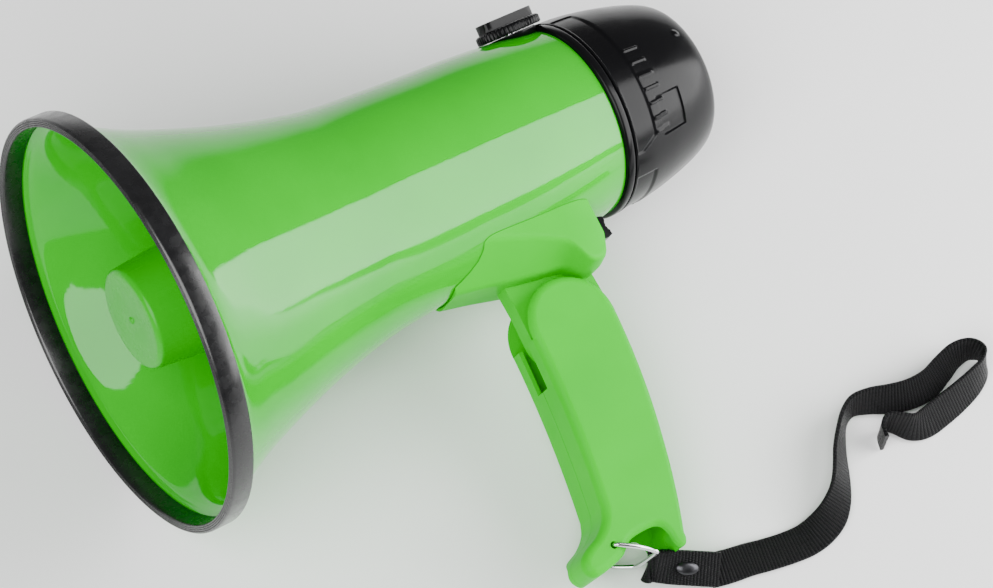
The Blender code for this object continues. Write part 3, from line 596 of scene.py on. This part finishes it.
def lamp(name, turn, centre, size, power):
    """A rectangular lamp that shines along its own -Z."""
    light = bpy.data.lights.new(name, "AREA")
    light.shape = "RECTANGLE"
    light.size, light.size_y = size
    light.energy = power
    box = bpy.data.objects.new(name, light)
    bpy.context.scene.collection.objects.link(box)
    box.matrix_world = Matrix.LocRotScale(centre, turn.to_quaternion(), None)


# ---------------------------------------------------------------- strap

def strap_path():
    """The strap's centre line and the direction of its width, in world millimetres."""
    parts = 8
    path = smooth_through(STRAP_ROUTE, parts)
    leans = smooth_values(STRAP_LEAN, parts)
    wides = []
    for step in range(len(path)):
        before, after = path[max(step - 1, 0)], path[min(step + 1, len(path) - 1)]
        along = (after - before).normalized()
        level = Vector((-along.y, along.x, 0.0)).normalized()
        up = along.cross(level)
        lean = math.radians(leans[step])
        wides.append(level * math.cos(lean) + up * math.sin(lean))
    return path, wides


def make_strap(looks):
    """The webbing along its route, with its folded tab and rivet."""
    path, wides = strap_path()
    strap = swept("strap_webbing", path, wides, webbing_section(STRAP_WIDTH, WEBBING))
    belong(strap, "ring_and_strap", looks["nylon_webbing"], "nylon_webbing", "wrist_strap")
    tab = make_tab(looks)
    rivet = make_rivet(looks)


def tab_axes():
    """Direction of the tab, of its width and of its upper face."""
    along = (TAB_END - TAB_START).normalized()
    face = along.cross(TAB_WIDE).normalized()
    return along, face.cross(along).normalized(), face


def make_tab(looks):
    """The webbing's end, folded round the ring's bar and back over itself."""
    along, wide, face = tab_axes()
    bar = POSE.to_3x3() @ Vector((0.0, 0.0, 1.0))
    fold = (wide * 0.8 + bar * 0.6).normalized()
    lift = 1.25
    route = [TAB_END + along * 1.6 + face * lift, TAB_END - along * 4.0 + face * (lift + 0.1),
             TAB_START + along * 8.0 + face * (lift + 0.15),
             TAB_START + along * 3.0 + face * (lift + 0.5),
             TAB_START - along * 0.6 + face * (lift + 0.7), TAB_START - along * 2.6 + face * 0.9,
             TAB_START - along * 2.9 - face * 0.2, TAB_START - along * 2.2 - face * 1.2,
             TAB_START + along * 0.2 - face * 1.6, TAB_START + along * 5.0 - face * 1.1,
             TAB_END - along * 5.0 - face * 0.9, TAB_END + along * 0.4 - face * 0.9]
    turn_in = (0.0, 0.0, 0.15, 0.5, 0.8, 1.0, 1.0, 1.0, 0.7, 0.3, 0.0, 0.0)
    path = smooth_through(route, 6)
    wides = [wide.lerp(fold, share) for share in smooth_values(turn_in, 6)]
    tab = swept("strap_fold", path, wides, webbing_section(STRAP_WIDTH, 1.3))
    return belong(tab, "ring_and_strap", looks["nylon_webbing"], "nylon_webbing", "strap_tab")


def make_rivet(looks):
    """Oval rivet with a domed head and a rolled edge on each face of the tab."""
    along, wide, face = tab_axes()
    head = [(-3.6, 0.0), (-3.55, 2.0), (-3.2, 3.6), (-2.6, 4.35), (-2.2, 4.4), (-2.1, 3.6),
            (-2.0, 1.9)]
    outline = head + [(-x, r) for x, r in reversed(head)]
    rivet = turned("oval_rivet", outline, sides=64)
    turn = Matrix((face, along, wide)).transposed().to_4x4()
    squash = Matrix.Diagonal((1.0, 1.0, 0.58, 1.0))
    centre = (TAB_START + TAB_END) / 2.0
    rivet.data.transform(Matrix.Translation(centre * MM) @ turn @ squash)
    return belong(rivet, "ring_and_strap", looks["dark_steel"], "dark_steel", "strap_rivet")


def make_ring(looks):
    """The bent wire ring through the toe of the grip."""
    hx, hy = RING_HOLE
    reach, drop = 15.5, -9.8
    side = GRIP_HALF_WIDTH + GAP + RING_WIRE
    points = [(hx, hy, 0.0), (hx, hy, side - 2.4), (hx + 0.5, hy - 0.3, side - 0.5),
              (hx + 1.9, hy - 1.2, side), (hx + 0.5 * reach, hy + 0.5 * drop, side),
              (hx + 0.88 * reach, hy + 0.88 * drop, 11.4), (hx + reach, hy + drop, 8.4)]
    loop = points + [(x, y, -z) for x, y, z in reversed(points[1:])]
    path = smooth_through(loop + [loop[0]], 6)
    circle = [(RING_WIRE * math.cos(t), RING_WIRE * math.sin(t))
              for t in (2.0 * math.pi * step / 16 for step in range(16))]
    wides = [Vector((drop, -reach, 0.0)).normalized()] * len(path)
    ring = swept("wire_ring", path, wides, circle)
    put(ring, "ring_and_strap", looks["bright_steel"], "bright_steel", "strap_ring")


# ---------------------------------------------------------------- horn

def make_horn(looks):
    """The green shell in one smooth flare, with its lip in the rim's channel."""
    flare = smooth_through(HORN_OUTLINE, 6)
    outer = [(2.6, 78.4), (8.6, 78.4), (9.0, 78.1), *[(p.x, p.y) for p in flare]]
    inner = [(p.x, p.y - HORN_WALL) for p in reversed(flare)]
    inner += [(8.4, 76.9), (2.6, 77.6)]
    horn = turned("green_horn", outer + inner, sides=216)
    put(horn, "horn", looks["shell_green"], "shell_green", "bell_horn")


def make_rim(looks):
    """The rubber rim: fine round ribs on its face, smooth sides and a soft outer corner."""
    pitch, ribs, depth = 0.72, 4, 0.32
    first = RIM_BORE + 0.25
    face = []
    for step in range(ribs * 8 + 1):
        rise = abs(math.sin(math.pi * step / 8))
        face.append((0.42 - depth * rise, first + pitch * step / 8))
    outline = [(0.9, RIM_BORE), *face, (0.35, RIM_RADIUS - 0.4), (0.8, RIM_RADIUS - 0.1),
               (1.3, RIM_RADIUS), (7.9, RIM_RADIUS), (8.3, RIM_RADIUS - 0.12),
               (RIM_DEPTH, RIM_RADIUS - 0.4), (RIM_DEPTH, 79.0), (2.3, 79.0), (2.3, 77.4),
               (8.0, 77.4), (8.2, 77.2), (8.2, RIM_BORE + 0.2), (8.0, RIM_BORE)]
    rim = turned("rubber_rim", outline, sides=240)
    put(rim, "horn", looks["rim_rubber"], "rim_rubber", "rim_guard")


def make_reflector(looks):
    """The closed bullet, with a faint dish and a moulding nub in its face."""
    front, radius, wall = REFLECTOR_FRONT_X, REFLECTOR_RADIUS, 1.8
    shoulder = [(front + 2.2 * (1.0 - math.sin(t)), radius - 2.2 + 2.2 * math.cos(t))
                for t in (math.radians(angle) for angle in range(90, -1, -10))]
    outline = [(front - 0.55, 0.0), (front - 0.5, 0.9), (front - 0.2, 1.25), (front + 0.25, 1.5),
               (front + 0.3, 8.0), (front + 0.15, 14.0), *shoulder]
    body = smooth_through([(front + 2.4, radius), (front + 22.0, 21.4), (front + 42.0, 23.4),
                           (front + 60.0, 26.2)], 5)
    outline += [(p.x, p.y) for p in body[1:]]
    outline += [(front + 60.0, 26.2 - wall), (front + 22.0, 21.4 - wall),
                (front + 4.0, radius - wall), (front + wall, 15.0), (front + wall, 0.0)]
    cup = turned("reflector_bullet", outline, sides=96)
    put(cup, "horn", looks["inner_green"], "inner_green", "reflector_cup")


def make_seam_ring(looks):
    """The polished black trim ring between horn and cap."""
    outline = [(SEAM_X + GAP, 35.4), (SEAM_X + GAP, 39.3), (SEAM_X + 0.5, 39.8),
               (SEAM_X + 0.9, 40.15), (SEAM_X + 1.5, 40.3), (206.9, 40.3), (207.5, 40.15),
               (207.9, 39.8), (208.0, 39.3), (208.0, 37.4), (214.0, 37.4), (214.0, 35.4)]
    ring = turned("trim_ring", outline, sides=180)
    put(ring, "horn", looks["satin_black"], "satin_black", "seam_ring")


def cap_relief(x, angle, radius):
    """Grip relief on the cap's skirt, three times round: hollows, fine ribs and a window."""
    turn = 90.0 - math.degrees(angle)
    a = (turn + 50.0) % 120.0 - 50.0
    inside = ease((x - 208.9) / 0.8) * ease((219.5 - x) / 0.8)
    hollow = inside * ease((a + 47.0 - 0.9 * max(x - 212.0, 0.0)) / 1.2) * ease((58.0 - a) / 1.2)
    window = ease((x - 223.2) / 0.6) * ease((236.0 - x) / 0.6)
    window *= ease((a + 43.5) / 1.0) * ease((-19.5 - a) / 1.0)
    ribs = 0.0
    for step in range(7):
        place = abs(a - 11.0 + 8.3 * step)
        ribs = max(ribs, ease((1.15 - place) / 0.6))
    reach = ease((x - 219.6) / 0.5) * ease((227.4 - x) / 0.5)
    nub = ease(1.4 - math.hypot((x - 249.0) / 1.5, (a - 12.7) * 0.6 / 1.5))
    return radius - 0.55 * hollow - 0.9 * window + 0.5 * ribs * reach + 0.6 * nub


def cap_surface(x, angle, radius):
    """Only the outside of the skirt carries the relief."""
    outside = radius > 39.0 - max(x - 222.0, 0.0) * 0.26 - max(x - 250.0, 0.0) * 0.8
    return cap_relief(x, angle, radius) if outside and x > 208.8 else radius


def make_cap(looks):
    """The twist-off cap: ribbed skirt, rounded shoulder and dished end."""
    skirt = smooth_through([(209.0, 40.2), (218.0, 39.8), (228.0, 38.5), (236.0, 37.0), (244.0, 35.1),
                            (250.0, 33.2), (254.2, 31.3), (256.6, 29.2), (CAP_END_X, 26.6)], 16)
    outline = [(CAP_FRONT_X, 38.0), (CAP_FRONT_X, 39.7), (208.5, 40.05)]
    outline += [(p.x, p.y) for p in skirt]
    outline += [(257.4, 25.7), (257.0, 24.9), (256.2, 24.2), (255.6, 23.2), (255.2, 21.0),
                (255.0, 18.0), (255.0, 10.4), (254.8, 9.8), (254.4, 9.4)]
    outline += [(252.8, 9.4), (252.8, 23.0), (250.6, 29.6), (244.0, 33.0), (228.0, 36.4),
                (216.0, 38.0)]
    cap = turned("ribbed_cap", outline, sides=540, wobble=cap_surface)
    put(cap, "rear_cap", looks["satin_black"], "satin_black", "rear_cap")


def make_mic_grille(looks):
    """A dished disc with rings of round holes over the microphone."""
    outline = [(253.2, 0.0), (253.2, 9.0), (254.5, 9.0), (254.7, 8.8), (254.8, 8.2), (254.4, 7.2),
               (254.2, 4.0), (254.2, 0.0)]
    grille = turned("round_grille", outline, sides=72)
    places = [(0.0, 0.0)]
    for count, radius in ((6, 3.0), (12, 5.8)):
        places += arc((0.0, 0.0), radius, 0.0, 360.0 - 360.0 / count, count - 1)
    for y, z in places:
        combine(grille, rod("hole", (252.0, y, z), (256.0, y, z), 0.75, sides=16), "DIFFERENCE")
    put(grille, "rear_cap", looks["satin_black"], "satin_black", "mic_grille")


# ---------------------------------------------------------------- controls

def stand_on(piece, angle):
    """Turn a piece drawn along X, from 0, to stand on the horn's side under the knob."""
    outward = Vector((0.0, math.cos(angle), math.sin(angle)))
    along = Vector((1.0, 0.0, 0.0))
    turn = Matrix((outward, along, outward.cross(along))).transposed().to_4x4()
    foot = Vector(radial(KNOB_X, angle, KNOB_SEAT)) * MM
    piece.data.transform(Matrix.Translation(foot) @ turn)


def knurl(x, angle, radius):
    """Fine notches round the knob's edge."""
    if radius < KNOB_RADIUS - 0.8 or not 0.3 < x < 3.3:
        return radius
    return radius - 0.45 * (0.5 + 0.5 * math.cos(48.0 * angle)) ** 2


def make_knob(looks):
    """The volume knob: notched edge, bevelled face and a raised finger bar with a pointer."""
    outline = [(0.0, 2.9), (0.0, 12.6), (0.25, 13.0), (0.5, KNOB_RADIUS), (1.6, KNOB_RADIUS),
               (2.8, KNOB_RADIUS), (3.1, 13.0), (3.5, 12.4), (3.8, 11.4), (3.8, 0.0), (2.3, 0.0),
               (2.3, 2.9)]
    disc = turned("notched_knob", outline, sides=288, wobble=knurl)
    side = [(-11.6, -2.6), (-10.4, -4.0), (-8.0, -4.2), (8.0, -4.2), (10.4, -4.0), (11.6, -2.6),
            (11.6, 2.6), (10.4, 4.0), (8.0, 4.2), (-8.0, 4.2), (-10.4, 4.0), (-11.6, 2.6)]
    bar = extruded("bar", side, 3.0, 7.4)
    bar.data.transform(Matrix(((0.0, 0.0, 1.0, 0.0), (1.0, 0.0, 0.0, 0.0), (0.0, 1.0, 0.0, 0.0),
                               (0.0, 0.0, 0.0, 1.0))))
    combine(disc, bar, "UNION")
    combine(disc, block("pointer", (7.1, 4.0, -0.5), (8.0, 12.0, 0.5)), "DIFFERENCE")
    soften(disc, 0.45, 2, 50.0)
    stand_on(disc, KNOB_ANGLE)
    put(disc, "volume_knob", looks["satin_black"], "satin_black", "volume_knob")


def horn_core(extra):
    """A solid of the horn's outer shape, swollen by extra, to cut neighbours with."""
    flare = smooth_through(HORN_OUTLINE, 6)
    outline = [(60.0, 0.0)] + [(p.x, p.y + extra) for p in flare if p.x > 60.0]
    outline += [(SEAM_X + 8.0, HORN_OUTLINE[-1][1] + extra), (SEAM_X + 8.0, 0.0)]
    return turned("horn_core", outline, sides=216)


def make_knob_seat(looks):
    """The collar between horn and knob."""
    seat = rod("knob_collar", radial(KNOB_X, KNOB_ANGLE, 34.0),
               radial(KNOB_X, KNOB_ANGLE, KNOB_SEAT - GAP), 11.8, sides=96)
    combine(seat, horn_core(GAP), "DIFFERENCE")
    combine(seat, block("behind", (SEAM_X - 0.4, 20.0, -20.0), (230.0, 60.0, 40.0)), "DIFFERENCE")
    put(seat, "horn", looks["satin_black"], "satin_black", "knob_seat")


def make_rocker(looks):
    """The thumb rocker with shallow grip ridges."""
    x, y = ROCKER_AXIS
    face = [(x + 3.3, y - 3.9), (x + 3.0, y - 3.0), (x + 3.3, y - 2.2), (x + 2.6, y - 1.4),
            (x + 2.7, y - 0.6), (x + 2.2, y), (x + 2.7, y + 0.6), (x + 2.6, y + 1.4),
            (x + 3.3, y + 2.2), (x + 3.0, y + 3.0), (x + 3.3, y + 3.9)]
    side = [(x - 1.6, y - 4.4), (x + 1.2, y - 4.6), *face, (x + 1.2, y + 4.6), (x - 1.6, y + 4.4)]
    rocker = extruded("ridged_rocker", side, -16.6, 16.6)
    soften(rocker, 0.35, 2, 25.0)
    put(rocker, "talk_rocker", looks["satin_black"], "satin_black", "talk_rocker")


# ---------------------------------------------------------------- saddle

def rounded(corner, before, after, reach, steps=5):
    """Points that round a corner between its two neighbours."""
    c, a, b = Vector(corner), Vector(before), Vector(after)
    start = c + (a - c).normalized() * reach
    end = c + (b - c).normalized() * reach
    return [start.lerp(c, step / steps).lerp(c.lerp(end, step / steps), step / steps)
            for step in range(steps + 1)]


def tongue_outline():
    """Side view of the plate that reaches down between the grip's cheeks."""
    px, py = PIVOT
    outline = arc(PIVOT, 15.6, 180.0, 360.0, 40)
    outline += [(px + 18.4, py + 5.0), (px + 21.5, py + 6.5), (px + 21.5, -40.0)]
    outline += [(px - 14.0, -40.0), (px - 14.4, py + 14.0)]
    return outline


def make_saddle(looks):
    """The wedge under the horn: flat upper sides, a soft ridge, and sides that run in to the keel."""
    stations = (
        (121.0, 30.0, 27.0, -31.5, 9.0, -44.2), (134.0, 29.0, 27.5, -33.5, 10.0, -46.8),
        (146.0, 27.5, 26.5, -37.5, 11.0, -49.6), (156.0, 26.5, 25.5, -41.5, 11.5, -51.4),
        (166.0, 25.5, 24.5, -47.6, 12.0, -53.2), (171.0, 25.0, 23.5, -56.5, 12.5, -58.0),
        (178.5, 24.0, 21.5, -57.0, 12.5, -58.6), (183.4, 22.5, 19.5, -50.0, 12.0, -51.0),
    )
    top = -25.0
    bm = bmesh.new()
    rings = []
    for x, side, crease_z, crease_y, keel_z, keel_y in smooth_rows(stations, 4):
        wall, crease, keel = (side, top), (crease_z, crease_y), (keel_z, keel_y)
        half = [Vector(wall), *rounded(crease, wall, keel, 2.2),
                *rounded(keel, crease, (0.0, keel_y), 1.8)]
        section = [(p.x, p.y) for p in half] + [(-p.x, p.y) for p in reversed(half)]
        rings.append([bm.verts.new((x, y, z)) for z, y in section])
    count = len(rings[0])
    for near, far in zip(rings, rings[1:]):
        for step in range(count):
            after = (step + 1) % count
            bm.faces.new((near[step], far[step], far[after], near[after]))
    bm.faces.new(rings[0])
    bm.faces.new(rings[-1])
    saddle = as_piece("saddle_wedge", bm)
    tongue = extruded("tongue", tongue_outline(), -TONGUE_HALF_WIDTH, TONGUE_HALF_WIDTH)
    combine(saddle, tongue, "UNION")
    combine(saddle, horn_core(GAP), "DIFFERENCE")
    for low, high in ((-15.0, -TONGUE_HALF_WIDTH), (TONGUE_HALF_WIDTH, 15.0)):
        recess = extruded("recess", arc(PIVOT, PIVOT_RADIUS + 0.8, 0.0, 352.5, 47), low, high)
        combine(saddle, recess, "DIFFERENCE")
    combine(saddle, rod("hole", (*PIVOT, -8.0), (*PIVOT, 8.0), 3.3), "DIFFERENCE")
    combine(saddle, block("pocket", (173.5, -51.6, -17.6), (186.0, -41.0, 17.6)), "DIFFERENCE")
    soften(saddle, 0.7, 3, 40.0)
    put(saddle, "horn", looks["satin_green"], "shell_green", "saddle_bracket")


def smooth_rows(rows, parts):
    """Rows of numbers read off smooth curves through the given rows."""
    return list(zip(*(smooth_values(column, parts) for column in zip(*rows))))


# ---------------------------------------------------------------- grip

def grip_outline():
    """Side view of the grip: round top, bowed back, notched foot and flared toe."""
    px, py = PIVOT
    outline = arc(PIVOT, PIVOT_RADIUS, 0.0, 180.0, 48)
    outline += bow((px - PIVOT_RADIUS, py), (127.6, -139.0), -1.2, 14)[1:]
    toe = ((127.6, -139.0), (125.0, -143.5), (120.0, -147.3), (113.6, -149.8), (109.6, -152.6),
           (108.4, -156.4), (110.2, -159.6), (114.0, -160.4), (125.0, -158.4), (129.5, -155.4),
           (133.5, -154.2), (141.0, -154.2), (144.6, -155.6), (146.0, -159.0), (146.2, -163.0),
           (147.4, -165.4), (149.8, -165.6), (151.4, -163.6), (151.8, -161.6))
    outline += [tuple(point) for point in smooth_through(toe, 4)[1:]]
    outline += bow((151.8, -161.6), (px + PIVOT_RADIUS, py - 1.5), 3.9, 24)[1:]
    return outline


def grip_cavity():
    """Side view of the hollow inside the grip, open through the foot."""
    px, py = PIVOT
    reach = PIVOT_RADIUS - GRIP_WALL
    outline = [(px + reach, py + 8.0), (px + reach, py + 16.0), (px - reach, py + 16.0)]
    outline += bow((px - reach, py + 4.0), (130.0, -139.0), -1.0, 10)
    outline += [(128.6, -147.0), (128.6, -172.0), (148.4, -172.0)]
    outline += bow((149.2, -160.0), (px + reach, py), 3.8, 16)
    return outline


def inward(outline):
    """Unit normals that point into a closed anticlockwise outline, one per point."""
    normals = []
    count = len(outline)
    for step in range(count):
        before, here, after = (Vector(outline[(step + turn) % count]) for turn in (-1, 0, 1))
        along = ((here - before).normalized() + (after - here).normalized()).normalized()
        normals.append(Vector((-along.y, along.x)))
    return normals


def edge_radii(outline, normals, most):
    """The rounding that each point of the outline has room for, up to most."""
    places = [Vector(point) for point in outline]
    radii = []
    for place, normal in zip(places, normals):
        radius = most
        while radius > 0.5:
            centre = place + normal * radius
            if min((centre - other).length for other in places) > 0.96 * radius:
                break
            radius -= 0.2
        radii.append(radius)
    count = len(radii)
    lowest = [min(radii[(step + turn) % count] for turn in range(-6, 7)) for step in range(count)]
    return [0.88 * sum(lowest[(step + turn) % count] for turn in range(-3, 4)) / 7.0
            for step in range(count)]


def cheek_shell(name, outline, low, high, rounding, steps=7):
    """A plate whose outer edge rolls over from its side wall to its flat cheek."""
    normals = inward(outline)
    radii = edge_radii(outline, normals, rounding)
    bm = bmesh.new()
    rings = [[bm.verts.new((x, y, low)) for x, y in outline]]
    for step in range(steps + 1):
        angle = math.radians(90.0 * step / steps)
        ring = []
        for (x, y), normal, radius in zip(outline, normals, radii):
            shift = normal * radius * (1.0 - math.cos(angle))
            height = high - radius * (1.0 - math.sin(angle))
            ring.append(bm.verts.new((x + shift.x, y + shift.y, height)))
        rings.append(ring)
    count = len(outline)
    for near, far in zip(rings, rings[1:]):
        for step in range(count):
            after = (step + 1) % count
            bm.faces.new((near[step], near[after], far[after], far[step]))
    bm.faces.new(reversed(rings[0]))
    bm.faces.new(rings[-1])
    return as_piece(name, bm)


def make_grip_half(looks, name, side, node):
    """One half of the grip, drawn towards +Z; the right half is mirrored, with a thin toe."""
    px, py = PIVOT
    wall = GRIP_HALF_WIDTH
    half = cheek_shell(name, grip_outline(), GAP / 2.0, wall, GRIP_ROUNDING)
    combine(half, extruded("hollow", grip_cavity(), -1.0, wall - GRIP_WALL), "DIFFERENCE")
    opening = block("opening", (px - 24.0, py + 1.0, -1.0), (px + 24.0, py + 24.0, wall - GRIP_WALL))
    combine(half, opening, "DIFFERENCE")
    slot = block("slot", (px - 32.0, py - 17.0, -1.0), (px - 10.0, py + 3.0, TONGUE_HALF_WIDTH + 0.7))
    combine(half, slot, "DIFFERENCE")
    combine(half, rod("boss", (px, py, 6.4), (px, py, wall - 1.0), 8.0), "UNION")
    combine(half, rod("hole", (px, py, 5.0), (px, py, 11.4), 3.3), "DIFFERENCE")
    boss_radius, hole_end = (3.2, 8.0) if side > 0.0 else (4.4, 14.0)
    for x, y in GRIP_SCREWS[:-1]:
        combine(half, rod("boss", (x, y, GAP / 2.0), (x, y, wall - 1.0), boss_radius), "UNION")
    for x, y in GRIP_SCREWS:
        combine(half, rod("hole", (x, y, -1.0), (x, y, hole_end), 1.6, sides=24), "DIFFERENCE")
        if side < 0.0:
            combine(half, rod("well", (x, y, 7.0), (x, y, 14.0), 3.0, sides=32), "DIFFERENCE")
    hole = rod("hole", (*RING_HOLE, -1.0), (*RING_HOLE, 14.0), RING_WIRE + 0.5, sides=32)
    combine(half, hole, "DIFFERENCE")
    if side < 0.0:
        for vertex in half.data.vertices:
            x, y = vertex.co.x / MM, vertex.co.y / MM
            vertex.co.z *= 1.0 - 0.7 * ease((118.0 - x) / 9.0) * ease((-148.0 - y) / 5.0)
        half.data.transform(Matrix.Scale(-1.0, 4, (0.0, 0.0, 1.0)))
        half.data.flip_normals()
    soften(half, 0.35, 2, 40.0)
    put(half, "grip", looks["satin_green"], "shell_green", node)


# ---------------------------------------------------------------- carried-over pieces

INNER_LOOKS = {
    "throat_tube": "inner_green", "horn_baffle": "inner_green", "mic_boot": "rim_rubber",
    "battery_tray": "satin_black", "driver_cover": "satin_black", "amp_chip": "satin_black",
    "switch_body": "satin_black", "driver_magnet": "ferrite", "voice_coil": "copper_coil",
    "driver_diaphragm": "dome_film", "amp_board": "board_green",
}
INNER_FAMILIES = (("battery_spring", "bright_steel"), ("battery_", "cell_jacket"),
                  ("board_capacitor", "satin_black"), ("hinge_washer", "washer_nylon"))


def inner_slot(node):
    """The material slot of a carried-over node; whatever isn't listed is bright steel."""
    if node in INNER_LOOKS:
        return INNER_LOOKS[node]
    return next((slot for family, slot in INNER_FAMILIES if node.startswith(family)), "bright_steel")


def dress_inner_pieces(looks, nodes):
    """Give every CAD node that stays in the model its own look."""
    for name, piece in nodes.items():
        if piece.hide_render:
            continue
        slot = inner_slot(name)
        piece.data.materials.clear()
        piece.data.materials.append(looks[slot])


# ---------------------------------------------------------------- main part

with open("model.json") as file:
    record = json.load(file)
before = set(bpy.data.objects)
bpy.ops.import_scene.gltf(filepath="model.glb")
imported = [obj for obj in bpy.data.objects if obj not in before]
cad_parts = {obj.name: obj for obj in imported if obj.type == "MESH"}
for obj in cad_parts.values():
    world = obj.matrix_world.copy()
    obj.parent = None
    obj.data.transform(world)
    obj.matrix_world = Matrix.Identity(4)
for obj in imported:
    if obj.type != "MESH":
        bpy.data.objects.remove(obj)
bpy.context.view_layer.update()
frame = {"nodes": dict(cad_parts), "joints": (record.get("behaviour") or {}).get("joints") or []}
POSE = design_pose(frame["joints"])

looks = make_looks()
make_camera()
make_strap(looks)
make_ring(looks)
make_horn(looks)
make_rim(looks)
make_reflector(looks)
make_seam_ring(looks)
make_cap(looks)
make_mic_grille(looks)
make_knob(looks)
make_knob_seat(looks)
make_rocker(looks)
make_saddle(looks)
make_grip_half(looks, "grip_left_half", 1.0, "grip_left_shell")
make_grip_half(looks, "grip_right_half", -1.0, "grip_right_shell")
dress_inner_pieces(looks, frame["nodes"])
make_table()
make_lights()
